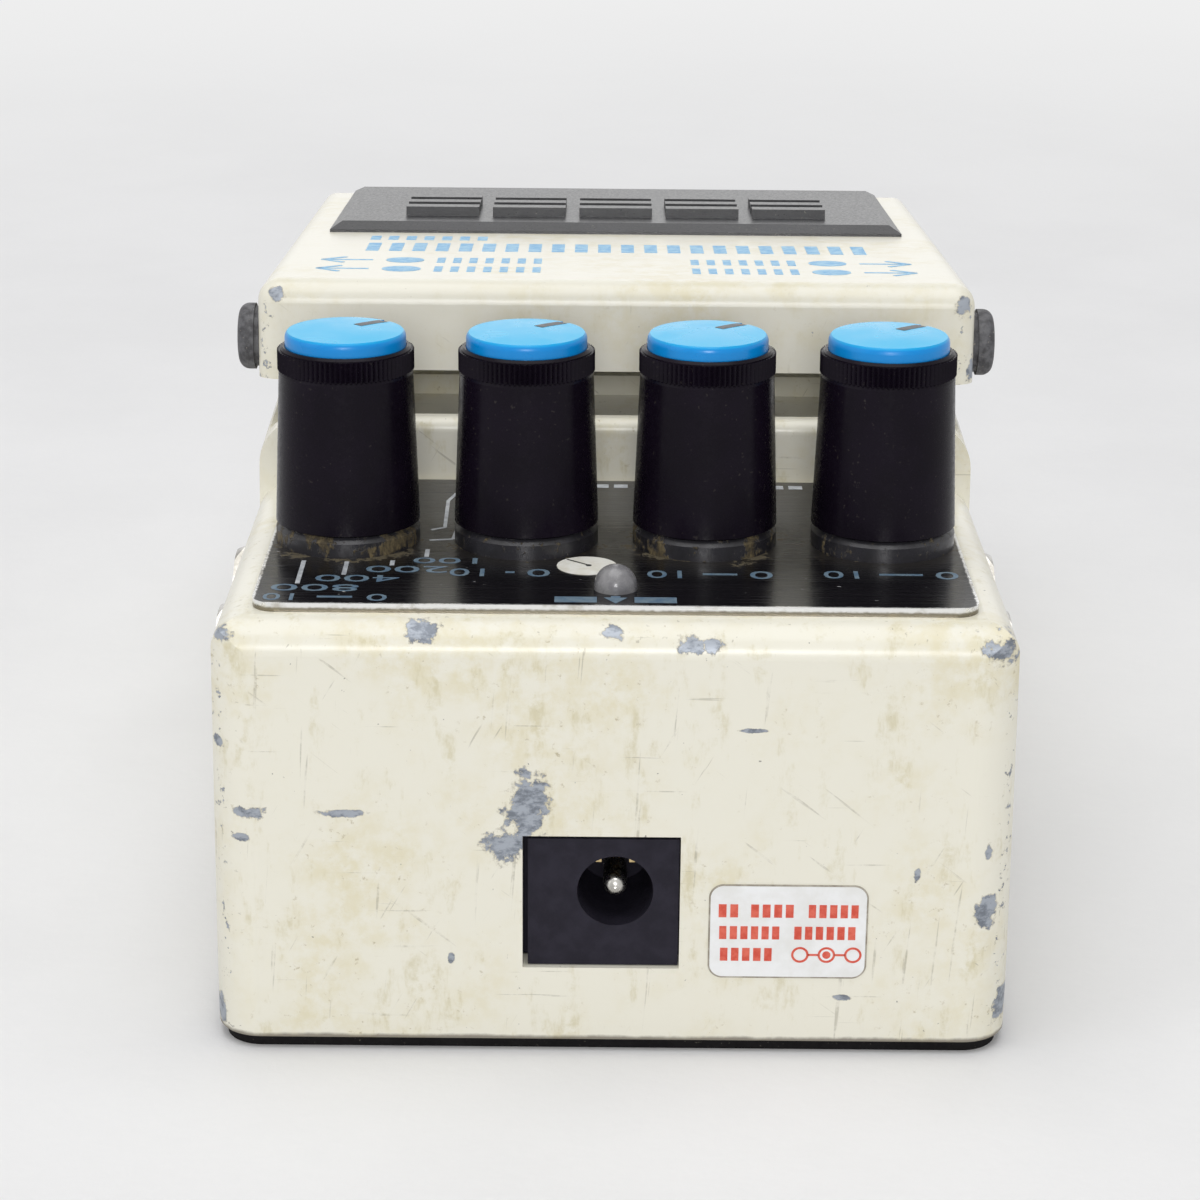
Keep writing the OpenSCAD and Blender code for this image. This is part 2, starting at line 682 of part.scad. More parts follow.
module processor_chip() {
  color([0.12, 0.12, 0.13]) translate([-0.144 * board_w, rear_y - chip_u, board_z + board_t + 0.6]) {
    translate([-chip_w / 2, -chip_w / 2, 0.2]) cube([chip_w, chip_w, 1.8]);
    for (i = [-5:2:5], s = [-1, 1]) translate([i * chip_w / 14 - 0.2, s * (chip_w / 2 + 0.4) - 0.9, 0])
      cube([0.4, 1.8, 0.5]);
  }
}

module memory_chips() {
  color([0.12, 0.12, 0.13]) for (x = [0.128, 0.288]) translate([x * board_w, rear_y - chip_u, board_z + board_t + 0.6]) {
    translate([-3.5, -6, 0.2]) cube([7, 12, 1.6]);
    for (i = [-4:2:4], s = [-1, 1]) translate([s * 3.8 - 0.8, i - 0.2, 0]) cube([1.6, 0.4, 0.5]);
  }
}

module capacitors() {
  color([0.15, 0.2, 0.4]) for (x = [-0.35, -0.22, 0.22, 0.35]) translate([x * board_w, rear_y - cap_u, board_z + board_t + 0.6])
    cylinder(r = 2.6, h = 6.5);
}

module ribbon_cable() {
  low = board_z + board_t + 0.6;
  high = seat_z(ribbon_u) + (pot_low - board_t) / cos(panel_tilt) - 0.1;
  color([0.75, 0.75, 0.72]) for (i = [-2:1:2]) translate([i, rear_y - ribbon_u, low]) cylinder(r = 0.38, h = high - low);
}

module foot_switch() {
  color([0.1, 0.1, 0.11]) translate([switch_x, rear_y - push_u, switch_z - switch_h]) difference() {
    translate([-switch_w / 2, -switch_w / 2, 0]) cube([switch_w, switch_w, switch_h]);
    translate([0, 0, 0.8]) cylinder(r = plunger_r + run_gap, h = switch_h);
  }
}

module switch_plunger() {
  color([0.8, 0.8, 0.78]) translate([switch_x, rear_y - push_u, plunger_top - 10.4]) cylinder(r = plunger_r, h = 10.4);
}

module spring_seat() {
  color([0.12, 0.12, 0.12]) translate([spring_x, rear_y - spring_u, spring_post_z]) {
    cylinder(r = seat_r, h = 2);
    cylinder(r = coil_r - wire_r - 0.6, h = 7);
  }
}

// Helical tube: height of the wire's middle after k coils, tight at both ends
function coil_z(k) = spring_low + wire_r + 0.02
  + (k < 1 ? k * end_pitch : k > coils - 1 ? spring_len - 2 * wire_r - 0.04 - (coils - k) * end_pitch
    : end_pitch + (k - 1) * mid_pitch);
rings = 8;
sides = 6;
steps = coils * rings;
tube_points = [for (i = [0:steps], j = [0:sides - 1])
  let (a = 360 * i / rings, b = 360 * j / sides, r = coil_r + wire_r * cos(b))
  [r * cos(a), r * sin(a), coil_z(i / rings) + wire_r * sin(b)]];
tube_sides = [for (i = [0:steps - 1], j = [0:sides - 1], h = [0, 1])
  let (p = i * sides + j, q = i * sides + (j + 1) % sides)
  h == 0 ? [p, p + sides, q] : [q, p + sides, q + sides]];
tube_low = [for (j = [1:sides - 2]) [0, j, j + 1]];
tube_high = [for (j = [1:sides - 2]) [steps * sides, steps * sides + j + 1, steps * sides + j]];

module return_spring() {
  color([0.7, 0.71, 0.73]) translate([spring_x, rear_y - spring_u, 0])
    polyhedron(points = tube_points, faces = concat(tube_sides, tube_low, tube_high), convexity = 10);
}

module guide_bush() {
  slot_high = tz(tip_t - thumb_out, thumb_n) + thumb_shank_r + 0.6;
  slot_low = post_top_z + 1.2;
  color([0.9, 0.9, 0.86]) translate([0, rear_y - bush_u - bush_d, 0]) difference() {
    translate([-5.5, 0, post_top_z]) cube([11, bush_d, slot_high + 2.4 - post_top_z]);
    translate([-thumb_shank_r - 0.4, -1, slot_low]) cube([2 * thumb_shank_r + 0.8, bush_d + 2, slot_high - slot_low]);
  }
}

module foam_pad() {
  color([0.3, 0.3, 0.32]) translate([batt_x, rear_y - batt_u - batt_w, bay_floor_z]) cube([batt_l - 2, batt_w, foam_t]);
}

module battery() {
  color([0.5, 0.52, 0.55]) translate([batt_x, rear_y - batt_u - batt_w / 2, batt_z + batt_h / 2])
    rotate([0, 90, 0]) linear_extrude(batt_l) round_rect(batt_h, batt_w, 2);
}

module battery_terminals() {
  color([0.75, 0.74, 0.7]) for (s = [-1, 1]) translate([term_x, rear_y - batt_u - batt_w / 2 + s * batt_w * 0.24, batt_z + batt_h / 2])
    rotate([0, 90, 0]) cylinder(r = s < 0 ? 2.8 : 3.9, h = stud_h);
}

module battery_snap() {
  color([0.08, 0.08, 0.08]) translate([term_x + stud_h, rear_y - batt_u - batt_w / 2, batt_z + batt_h / 2])
    rotate([0, 90, 0]) linear_extrude(snap_t) round_rect(batt_h * 0.69, batt_w * 0.94, 4);
}

// One lead: out of the snap, back through the partition and down to the main board
module lead(z, end_u) {
  r = lead_bend;
  x0 = term_x + stud_h + snap_t;
  translate([x0, rear_y - lead_u, z]) rotate([0, 90, 0]) cylinder(r = lead_r, h = lead_x - r - x0);
  translate([lead_x - r, rear_y - lead_u + r, z]) rotate([0, 0, -90]) rotate_extrude(angle = 90)
    translate([r, 0]) circle(lead_r);
  translate([lead_x, rear_y - lead_u + r, z]) rotate([-90, 0, 0]) cylinder(r = lead_r, h = lead_u - end_u - 2 * r);
  translate([lead_x, rear_y - end_u - r, z - r]) rotate([90, 0, 90]) rotate_extrude(angle = 90)
    translate([r, 0]) circle(lead_r);
  translate([lead_x, rear_y - end_u, board_top]) cylinder(r = lead_r, h = z - r - board_top);
}

module battery_leads() {
  color([0.6, 0.1, 0.1]) for (i = [0, 1]) lead(batt_z + 10.6 - 3 * i, lead_end_u + 2.4 * i);
}

module hinge_shaft() {
  l = over_w - 2;
  color([0.72, 0.73, 0.75]) translate([-l / 2, rear_y - hinge_u, hinge_z]) rotate([0, 90, 0]) cylinder(r = pivot_r, h = l);
}

// Rubber cap with a round outer edge and a narrow neck, pushed over the shaft's end
module hinge_caps() {
  inner = treadle_w / 2 + 0.1;
  l = over_w / 2 - inner;
  e = l * 0.48;
  neck = l * 0.24;
  color([0.2, 0.2, 0.21]) both() translate([inner, rear_y - hinge_u, hinge_z]) rotate([0, 90, 0]) rotate_extrude() difference() {
    union() {
      square([hinge_cap_r - 0.3, l - e]);
      translate([0, neck]) square([hinge_cap_r, l - e - neck]);
      square([hinge_cap_r - e, l]);
      intersection() {
        translate([hinge_cap_r - e, l - e]) circle(e);
        translate([hinge_cap_r - e - 0.1, l - e - 0.1]) square(e + 1);
      }
    }
    translate([-1, -1]) square([pivot_r + run_gap + 1, l]);
  }
}

// Side view of the treadle in its own frame: t forward, n up
module treadle_profile() {
  f = treadle_front;
  r = treadle_r;
  q = 3.5;
  polygon([[-treadle_rear, -treadle_skirt], [-treadle_rear, treadle_top - r], [-treadle_rear + r, treadle_top],
    [f - q, treadle_top], [f, treadle_top - q], [f, -treadle_skirt]]);
  translate([-treadle_rear + r, treadle_top - r]) circle(r);
  translate([f - q, treadle_top - q]) circle(q);
}

// Runs a (t, n) profile across the treadle, inside its frame
module t_across(w) {
  translate([w / 2, 0, 0]) rotate([90, 0, -90]) linear_extrude(w) children();
}

// Section of the treadle across its width, top at treadle_top
module treadle_section() {
  h = treadle_w / 2;
  r = treadle_r;
  polygon([[-h + r, treadle_top], [h - r, treadle_top], [h, treadle_top - r], [h, -40], [-h, -40], [-h, treadle_top - r]]);
  for (s = [-1, 1]) translate([s * (h - r), treadle_top - r]) circle(r);
}

module treadle() {
  len = treadle_front + treadle_rear;
  color([0.92, 0.9, 0.8]) on_treadle() difference() {
    union() {
      difference() {
        intersection() {
          t_across(treadle_w + 2) treadle_profile();
          translate([0, treadle_rear - len / 2, -30]) linear_extrude(60) round_rect(treadle_w, len, treadle_r);
          translate([0, 20, 0]) rotate([90, 0, 0]) linear_extrude(len + 40) treadle_section();
        }
        translate([-treadle_w / 2 + skirt_t, -treadle_front + tab_t, -30])
          cube([treadle_w - 2 * skirt_t, len - tab_t - skirt_t, 30 + under_n]);
      }
      translate([-tab_w / 2, -treadle_front, tab_n]) cube([tab_w, tab_t, -tab_n]);
      // ribs that stiffen the top
      for (s = [-1, 1]) translate([s * 13 - 0.8, -treadle_front + 1, under_n - 1.6]) cube([1.6, treadle_front - 9, 2]);
    }
    // rear wall ends higher between the sides
    translate([-treadle_w / 2 + skirt_t, 0, -treadle_skirt - 1]) cube([treadle_w - 2 * skirt_t, treadle_rear + 1, 2]);
    // round rear corners of the top
    both() translate([treadle_w / 2 - treadle_r, treadle_rear - treadle_r, treadle_top - treadle_r]) difference() {
      cube(treadle_r + 1);
      sphere(treadle_r);
    }
    translate([-60, 0, 0]) rotate([0, 90, 0]) cylinder(r = pivot_r + run_gap, h = 120);
    translate([0, -treadle_front + tab_t + 1, thumb_n]) rotate([90, 0, 0]) cylinder(r = thumb_shank_r + run_gap, h = 12);
  }
}

// Rubber pad with bevelled edges and plain raised grip bars
module treadle_pad() {
  front = -treadle_front + pad_in;
  b = 2 * pad_t;
  e = 1.2 * pad_t;
  pitch = pad_w * 0.154;
  row = pad_d * 0.125;
  color([0.07, 0.07, 0.08]) on_treadle() translate([0, front, treadle_top]) {
    intersection() {
      translate([pad_w / 2, 0, 0]) rotate([90, 0, -90]) linear_extrude(pad_w)
        polygon([[0, 0], [0, 0.3], [-b, pad_t], [-pad_d + b, pad_t], [-pad_d, 0.3], [-pad_d, 0]]);
      translate([0, pad_d, 0]) rotate([90, 0, 0]) linear_extrude(pad_d)
        polygon([[-pad_w / 2, 0], [-pad_w / 2, 0.3], [-pad_w / 2 + e, pad_t], [pad_w / 2 - e, pad_t],
          [pad_w / 2, 0.3], [pad_w / 2, 0]]);
    }
    for (i = [-2:1:2], j = [0:1:2])
      translate([(i - 0.42) * pitch, pad_d * 0.816 - row * (j + 0.53), pad_t - 0.2]) cube([pitch * 0.84, row * 0.53, bar_h + 0.2]);
  }
}

module switch_pusher() {
  color([0.85, 0.85, 0.8]) on_treadle() translate([switch_x, -lever, push_n]) {
    cylinder(r = push_r, h = under_n - push_n);
    sphere(push_r);
  }
}

module spring_cup() {
  color([0.12, 0.12, 0.12]) intersection() {
    translate([spring_x, rear_y - spring_u, spring_cup_z]) {
      cylinder(r = seat_r, h = 12);
      translate([0, 0, -2.5]) cylinder(r = coil_r - wire_r - 0.8, h = 4);
    }
    on_treadle() translate([-40, -140, under_n - 60]) cube([80, 200, 60]);
  }
}

module thumbscrew() {
  shank = thumb_out + head_gap + tab_t + pin_l;
  color([0.75, 0.76, 0.78]) on_treadle() translate([0, -treadle_front - head_gap - thumb_out, thumb_n]) rotate([90, 0, 0]) {
    difference() {
      union() {
        cylinder(r = thumb_r - 0.4, h = thumb_l);
        translate([0, 0, 0.8]) linear_extrude(thumb_l - 1.6) knurl(thumb_r, thumb_teeth, 0.35);
      }
      translate([-8, -0.7, thumb_l - 1.4]) cube([16, 1.4, 3]);
    }
    translate([0, 0, -shank]) difference() {
      cylinder(r = thumb_shank_r, h = shank + 1);
      translate([0, 0, pin_l - free_gap - clip_t]) difference() {
        cylinder(r = thumb_shank_r + 2, h = clip_t);
        translate([0, 0, -1]) cylinder(r = thumb_shank_r - 0.5, h = 3);
      }
    }
  }
}

module screw_clip() {
  color([0.6, 0.6, 0.62]) on_treadle() translate([0, -treadle_front + tab_t + free_gap + clip_t, thumb_n])
    rotate([90, 0, 0]) difference() {
      cylinder(r = thumb_shank_r + 1.4, h = clip_t);
      translate([0, 0, -1]) cylinder(r = thumb_shank_r - 0.5, h = 3);
    }
}

// Tapered black skirt with a knurled grip ring, hollow below
module knob_skirt(x) {
  w = 1.1;
  depth = 0.26;
  band_r = knob_ring_r - depth;
  color([0.05, 0.05, 0.06]) on_panel() translate([x, 0, 0]) {
    rotate_extrude() polygon([
      [shaft_r + run_gap, knob_low + 2], [shaft_r + 1.4, knob_low + 2], [shaft_r + 1.4, shaft_top - 1],
      [knob_neck_r - w, shaft_top - 1], [knob_foot_r - w, knob_low], [knob_foot_r, knob_low],
      [knob_neck_r, ring_low - 0.3], [band_r, ring_low], [band_r, ring_top - 0.2],
      [band_r - 0.2, ring_top], [cap_r + run_gap, ring_top], [cap_r + run_gap, ring_top - 1],
      [0, ring_top - 1], [0, shaft_top], [shaft_r + run_gap, shaft_top]]);
    translate([0, 0, ring_low]) linear_extrude(knob_ring_h - 0.3) difference() {
      knurl(knob_ring_r, knob_teeth, depth);
      circle(band_r - 0.15);
    }
  }
}

// Domed cap seated in the top of the skirt, with a rounded edge and a pointer groove out to its rim
module knob_cap(x) {
  e = 0.8;
  dome_r = (cap_r * cap_r + cap_dome * cap_dome) / (2 * cap_dome);
  color([0.1, 0.55, 0.85]) on_panel() translate([x, 0, 0]) difference() {
    rotate_extrude() intersection() {
      union() {
        polygon([[0, ring_top - 1], [cap_r, ring_top - 1], [cap_r, knob_top - e], [cap_r - e, knob_top - e],
          [cap_r - e, knob_top], [0, knob_top]]);
        intersection() {
          translate([cap_r - e, knob_top - e]) circle(e);
          translate([cap_r - e - 0.1, knob_top - e - 0.1]) square(e + 1);
        }
      }
      translate([0, knob_top - dome_r]) circle(dome_r, $fn = 720);
    }
    rotate([0, 0, pointer_a]) translate([cap_r * 0.27, -pointer_w / 2, knob_top - cap_dome - 0.3])
      cube([cap_r, pointer_w, 1]);
  }
}

// Shaft that turns in the control's bush, with the flat that keys the knob
module knob_shaft(x) {
  color([0.7, 0.7, 0.72]) on_panel() translate([x, 0, shaft_low]) difference() {
    cylinder(r = shaft_r, h = shaft_top - shaft_low);
    translate([-5, shaft_r - 0.8, 8]) cube([10, 5, 20]);
  }
}

module knob_mode_skirt() {
  knob_skirt(1.5 * knob_pitch);
}

module knob_mode_cap() {
  knob_cap(1.5 * knob_pitch);
}

module knob_mode_shaft() {
  knob_shaft(1.5 * knob_pitch);
}

module knob_time_skirt() {
  knob_skirt(0.5 * knob_pitch);
}

module knob_time_cap() {
  knob_cap(0.5 * knob_pitch);
}

module knob_time_shaft() {
  knob_shaft(0.5 * knob_pitch);
}

module knob_feedback_skirt() {
  knob_skirt(-0.5 * knob_pitch);
}

module knob_feedback_cap() {
  knob_cap(-0.5 * knob_pitch);
}

module knob_feedback_shaft() {
  knob_shaft(-0.5 * knob_pitch);
}

module knob_level_skirt() {
  knob_skirt(-1.5 * knob_pitch);
}

module knob_level_cap() {
  knob_cap(-1.5 * knob_pitch);
}

module knob_level_shaft() {
  knob_shaft(-1.5 * knob_pitch);
}

chassis();
base_plate();
base_rubber();
base_screws();
insulator_sheet();
control_panel();
knob_seals();
pot_level();
pot_feedback();
pot_time();
mode_switch();
control_board();
lamp_lens();
lamp_holder();
power_socket();
power_pin();
power_contact();
jack_in_a();
jack_in_b();
jack_out_a();
jack_out_b();
jack_washers();
jack_nuts();
main_board();
board_screws();
processor_chip();
memory_chips();
capacitors();
ribbon_cable();
foot_switch();
spring_seat();
return_spring();
guide_bush();
foam_pad();
battery();
battery_terminals();
battery_snap();
battery_leads();
hinge_shaft();
hinge_caps();
treadle();
treadle_pad();
switch_pusher();
spring_cup();
thumbscrew();
screw_clip();
switch_plunger();
knob_mode_skirt();
knob_mode_cap();
knob_mode_shaft();
knob_time_skirt();
knob_time_cap();
knob_time_shaft();
knob_feedback_skirt();
knob_feedback_cap();
knob_feedback_shaft();
knob_level_skirt();
knob_level_cap();
knob_level_shaft();
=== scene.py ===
"""Looks of a compact delay foot pedal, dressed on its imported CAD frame."""

import logging
import math
from abc import ABC, abstractmethod
from dataclasses import dataclass
from enum import Enum

import bpy
import numpy as np
from mathutils import Matrix, Vector


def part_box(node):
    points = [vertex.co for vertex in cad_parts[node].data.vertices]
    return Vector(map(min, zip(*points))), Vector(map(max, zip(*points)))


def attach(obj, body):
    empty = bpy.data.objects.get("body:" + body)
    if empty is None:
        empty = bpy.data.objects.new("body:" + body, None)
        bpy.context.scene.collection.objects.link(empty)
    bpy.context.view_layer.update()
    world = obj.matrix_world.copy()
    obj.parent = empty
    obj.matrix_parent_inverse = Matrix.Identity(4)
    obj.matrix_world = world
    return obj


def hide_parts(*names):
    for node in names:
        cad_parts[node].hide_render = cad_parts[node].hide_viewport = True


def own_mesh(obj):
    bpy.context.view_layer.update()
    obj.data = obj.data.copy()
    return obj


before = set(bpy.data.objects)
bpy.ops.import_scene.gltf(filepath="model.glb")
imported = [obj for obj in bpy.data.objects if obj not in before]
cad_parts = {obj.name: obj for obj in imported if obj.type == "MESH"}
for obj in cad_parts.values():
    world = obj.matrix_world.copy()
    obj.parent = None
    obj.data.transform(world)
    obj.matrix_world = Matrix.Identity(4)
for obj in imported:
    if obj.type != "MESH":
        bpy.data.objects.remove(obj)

LOG = logging.getLogger("pedal")
# A millimetre in metres, and a full turn in radians.
MM = 0.001
FULL_TURN = 2.0 * np.pi
# Distance between the knobs in millimetres.
KNOB_PITCH = 16.0
# Size of the built-in font over the height of its figures.
FONT_PER_FIGURE = 1.38
Colour = tuple[float, float, float, float]
Triple = tuple[float, float, float]
Pair = tuple[float, float]
Faces = list[list[int]]
Socket = bpy.types.NodeSocket
Material = bpy.types.Material
Piece = bpy.types.Object
Value = Socket | float | Triple | Colour


class Plane(Enum):
    """Leaning surfaces that carry printed shapes: a point of each in millimetres, and degrees about X."""

    PLATE = ((0.0, 44.2987, 38.9), 3.0)
    TREADLE = ((0.0, 15.7987, 50.1), 7.5)

    def matrix(self) -> Matrix:
        """Returns the plane's own frame in the model, in millimetres."""
        origin, lean = self.value
        return Matrix.Translation(origin) @ Matrix.Rotation(math.radians(lean), 4, "X")


class Knob(Enum):
    """The knobs of the row, each with the x of its axis in millimetres."""

    MODE = 1.5 * KNOB_PITCH
    TIME = 0.5 * KNOB_PITCH
    FEEDBACK = -0.5 * KNOB_PITCH
    LEVEL = -1.5 * KNOB_PITCH

    def label(self) -> str:
        """Returns the knob's name as its nodes and its body use it."""
        return self.name.lower()


def srgb(red: float, green: float, blue: float) -> Colour:
    """Turns a colour as seen on a screen, 0 to 255, into the linear colour that a shader takes.

    A level v from 0 to 1 becomes ((v + 0.055) / 1.055)^2.4, or v / 12.92 where it is darkest.

    Args:
        red: red level.
        green: green level.
        blue: blue level.

    Returns:
        Linear red, green, blue and an alpha of one.
    """
    level = np.array([red, green, blue]) / 255.0
    bent = np.where(level <= 0.04045, level / 12.92, ((level + 0.055) / 1.055) ** 2.4)
    return (float(bent[0]), float(bent[1]), float(bent[2]), 1.0)


def grid_faces(rows: int, columns: int, close_rows: bool, close_columns: bool) -> np.ndarray:
    """Four-sided faces of a grid of points stored row after row.

    Face (i, j) joins the points (i, j), (i, j + 1), (i + 1, j + 1) and (i + 1, j).

    Args:
        rows: points along the first direction.
        columns: points along the second direction.
        close_rows: whether the last row joins the first.
        close_columns: whether the last column joins the first.

    Returns:
        An array of four point numbers per face.
    """
    i = np.arange(rows if close_rows else rows - 1)[:, None]
    j = np.arange(columns if close_columns else columns - 1)[None, :]
    i2, j2 = (i + 1) % rows, (j + 1) % columns
    quads = np.stack([i * columns + j, i * columns + j2, i2 * columns + j2, i2 * columns + j], axis=-1)
    return quads.reshape(-1, 4)


def make_piece(name: str, points: np.ndarray, faces: Faces, material: Material, body: str,
               smooth: bool = False) -> Piece:
    """Makes a mesh piece from points in millimetres and lets it move with a CAD body.

    Args:
        name: name of the piece.
        points: one row of x, y, z per point, in millimetres of the model.
        faces: point numbers of each face.
        material: finish of the piece.
        body: CAD body that it moves with.
        smooth: whether it is shaded smooth.

    Returns:
        The new object.
    """
    mesh = bpy.data.meshes.new(name)
    mesh.from_pydata((points * MM).tolist(), [], faces)
    mesh.validate()
    mesh.polygons.foreach_set("use_smooth", np.full(len(mesh.polygons), smooth))
    mesh.materials.append(material)
    piece = bpy.data.objects.new(name, mesh)
    bpy.context.scene.collection.objects.link(piece)
    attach(piece, body)
    return piece


class Graph:
    """Node tree of one material, in millimetres of the object's own coordinates.

    Attributes:
        material: the material.
        tree: its node tree.
        shader: its main shader.
        mm: place on the object, with x, y and z also by themselves.
        facing: x, y and z of the direction that the surface faces.
    """

    def __init__(self, name: str) -> None:
        """Makes the material and the nodes that give its coordinates.

        Args:
            name: name of the material.
        """
        self.material = bpy.data.materials.new(name)
        self.material.use_nodes = True
        self.tree = self.material.node_tree
        self.shader = next(n for n in self.tree.nodes if n.type == "BSDF_PRINCIPLED")
        coords = self.tree.nodes.new("ShaderNodeTexCoord")
        self.mm = self.vector("MULTIPLY", coords.outputs["Object"], (1.0 / MM, 1.0 / MM, 1.0 / MM))
        self.x, self.y, self.z = self.split(self.mm)
        self.facing = self.split(coords.outputs["Normal"])

    def put(self, socket: Socket, value: Value) -> None:
        """Links a socket to another, or sets its constant.

        Args:
            socket: input that takes the value.
            value: output that is linked to it, or a constant.
        """
        if isinstance(value, Socket):
            self.tree.links.new(value, socket)
        else:
            socket.default_value = value

    def split(self, vector: Socket) -> tuple[Socket, ...]:
        """Takes a vector apart.

        Args:
            vector: the vector.

        Returns:
            Its x, y and z.
        """
        node = self.tree.nodes.new("ShaderNodeSeparateXYZ")
        self.put(node.inputs[0], vector)
        return tuple(node.outputs)

    def operate(self, node_type: str, kind: str, values: tuple[Value, ...]) -> bpy.types.Node:
        """Adds a node that carries out an operation.

        Args:
            node_type: type of the node.
            kind: its operation.
            values: what goes in, in order.

        Returns:
            The node.
        """
        node = self.tree.nodes.new(node_type)
        node.operation = kind
        for socket, value in zip(node.inputs, values):
            self.put(socket, value)
        return node

    def calc(self, kind: str, *values: Value) -> Socket:
        """Returns the result of a maths operation on the values, in order."""
        return self.operate("ShaderNodeMath", kind, values).outputs[0]

    def vector(self, kind: str, *values: Value) -> Socket:
        """Returns the vector of a vector operation on the values, or its number for a length."""
        node = self.operate("ShaderNodeVectorMath", kind, values)
        return node.outputs["Value" if kind == "LENGTH" else "Vector"]

    def ease(self, value: Value, low: float, high: float, start: float = 0.0, end: float = 1.0) -> Socket:
        """Adds a smooth step.

        Args:
            value: what is stepped.
            low: where the step starts.
            high: where it ends, below low for a falling step.
            start: result before the step.
            end: result after it.

        Returns:
            The stepped value.
        """
        node = self.tree.nodes.new("ShaderNodeMapRange")
        node.interpolation_type = "SMOOTHSTEP"
        for socket, number in zip(node.inputs[1:5], (low, high, start, end)):
            self.put(socket, number)
        self.put(node.inputs[0], value)
        return node.outputs[0]

    def noise(self, size: float, detail: float = 3.0, rough: float = 0.55, stretch: Triple = (1.0, 1.0, 1.0),
              shift: float = 0.0, turn: float = 0.0) -> Socket:
        """Adds a noise texture.

        Args:
            size: size of its features in millimetres.
            detail: number of finer layers.
            rough: strength of the finer layers.
            stretch: how much closer the features lie along each axis.
            shift: offset that makes one noise differ from another.
            turn: degrees that the stretched features lean, about Y.

        Returns:
            A value round one half.
        """
        scale = tuple(s / size for s in stretch)
        place = self.mm
        if turn:
            lean = self.tree.nodes.new("ShaderNodeVectorRotate")
            lean.rotation_type = "Y_AXIS"
            self.put(lean.inputs["Vector"], place)
            self.put(lean.inputs["Angle"], math.radians(turn))
            place = lean.outputs[0]
        place = self.vector("MULTIPLY_ADD", place, scale, (shift, shift * 1.7, -shift))
        node = self.tree.nodes.new("ShaderNodeTexNoise")
        self.put(node.inputs["Vector"], place)
        for key, number in (("Scale", 1.0), ("Detail", detail), ("Roughness", rough)):
            self.put(node.inputs[key], number)
        return node.outputs[0]

    def mix(self, share: Value, first: Value, second: Value) -> Socket:
        """Adds a colour mix.

        Args:
            share: how much of the second colour.
            first: colour at no share.
            second: colour at full share.

        Returns:
            The mixed colour.
        """
        node = self.tree.nodes.new("ShaderNodeMix")
        node.data_type = "RGBA"
        for index, value in ((0, share), (6, first), (7, second)):
            self.put(node.inputs[index], value)
        return node.outputs[2]

    def bump(self, height: Value, reach: float, strength: float = 1.0) -> None:
        """Adds relief.

        Args:
            height: height from 0 to 1.
            reach: millimetres of a height of one.
            strength: how much of it shows.
        """
        node = self.tree.nodes.new("ShaderNodeBump")
        self.put(node.inputs["Height"], height)
        self.put(node.inputs["Distance"], reach * MM)
        self.put(node.inputs["Strength"], strength)
        self.put(self.shader.inputs["Normal"], node.outputs[0])

    def feed(self, **inputs: Value) -> None:
        """Sets the shader's inputs, with a space for each underscore in their names."""
        for key, value in inputs.items():
            self.put(self.shader.inputs[key.replace("_", " ")], value)


class Surface(ABC):
    """A finish, which fills the node tree of a material."""

    @abstractmethod
    def fill(self, g: Graph) -> None:
        """Sets the nodes of the finish."""

    def make(self, name: str) -> Material:
        """Builds the material.

        Args:
            name: name of the material.

        Returns:
            The material.
        """
        g = Graph(name)
        self.fill(g)
        return g.material


@dataclass(frozen=True)
class Finish(Surface):
    """An even surface with two close tones, an uneven gloss, a fine relief and, where set, a painted
    highlight on what faces up.

    Attributes:
        tone: main colour.
        deep: second colour, in soft patches.
        rough: mean roughness.
        metal: 1 for bare metal.
        patch: size of the patches in millimetres.
        grain: size of the relief in millimetres.
        relief: height of the relief in millimetres.
        stretch: how much closer patches and grain lie along each axis.
        specular: strength of the reflection.
        dust: share of pale dust in specks.
        coat: strength of a clear gloss coat.
        painted_top_light: paler colour painted on what faces up, a painted highlight for the stronger light
            that top faces catch, where it is another.
        dust_tone: colour of the dust.
    """

    tone: Colour
    deep: Colour
    rough: float = 0.5
    metal: float = 0.0
    patch: float = 6.0
    grain: float = 0.6
    relief: float = 0.02
    stretch: Triple = (1.0, 1.0, 1.0)
    specular: float = 0.5
    dust: float = 0.0
    coat: float = 0.0
    painted_top_light: Colour | None = None
    dust_tone: Colour = srgb(176, 168, 152)

    def fill(self, g: Graph) -> None:
        """Sets the nodes of the finish.

        Args:
            g: the material's graph.
        """
        patches = g.noise(self.patch, 4.0, 0.6, self.stretch)
        grain = g.noise(self.grain, 3.0, 0.6, self.stretch, 7.3)
        tone = g.mix(g.ease(patches, 0.35, 0.68), self.tone, self.deep)
        # Painted highlight: what faces up is blended toward a paler colour, standing in for the stronger
        # light on top faces.
        if self.painted_top_light is not None:
            tone = g.mix(g.ease(g.facing[2], 0.4, 0.9), tone, self.painted_top_light)
        rough = g.ease(grain, 0.3, 0.7, max(self.rough - 0.07, 0.04), self.rough + 0.07)
        if self.dust > 0.0:
            specks = g.ease(g.noise(0.35, 2.0, 0.5, shift=3.1), 0.66, 0.74)
            cover = g.calc("MULTIPLY", specks, g.ease(patches, 0.4, 0.6, 0.0, self.dust))
            tone = g.mix(cover, tone, self.dust_tone)
        g.feed(Base_Color=tone, Roughness=rough, Metallic=self.metal, Specular_IOR_Level=self.specular)
        g.feed(Coat_Weight=self.coat, Coat_Roughness=0.08)
        g.bump(grain, self.relief)


@dataclass(frozen=True)
class Chip:
    """A place where the paint is gone: middle and half sizes in millimetres of the model."""

    middle: Triple
    reach: Triple


@dataclass(frozen=True)
class ScratchSet:
    """Fine scratches that run the same way.

    Attributes:
        stretch: how much closer they lie along each axis.
        shift: offset that makes one set differ from another.
        turn: degrees that they lean about Y.
        cut: level of the noise at which a scratch starts.
    """

    stretch: Triple
    shift: float
    turn: float
    cut: float


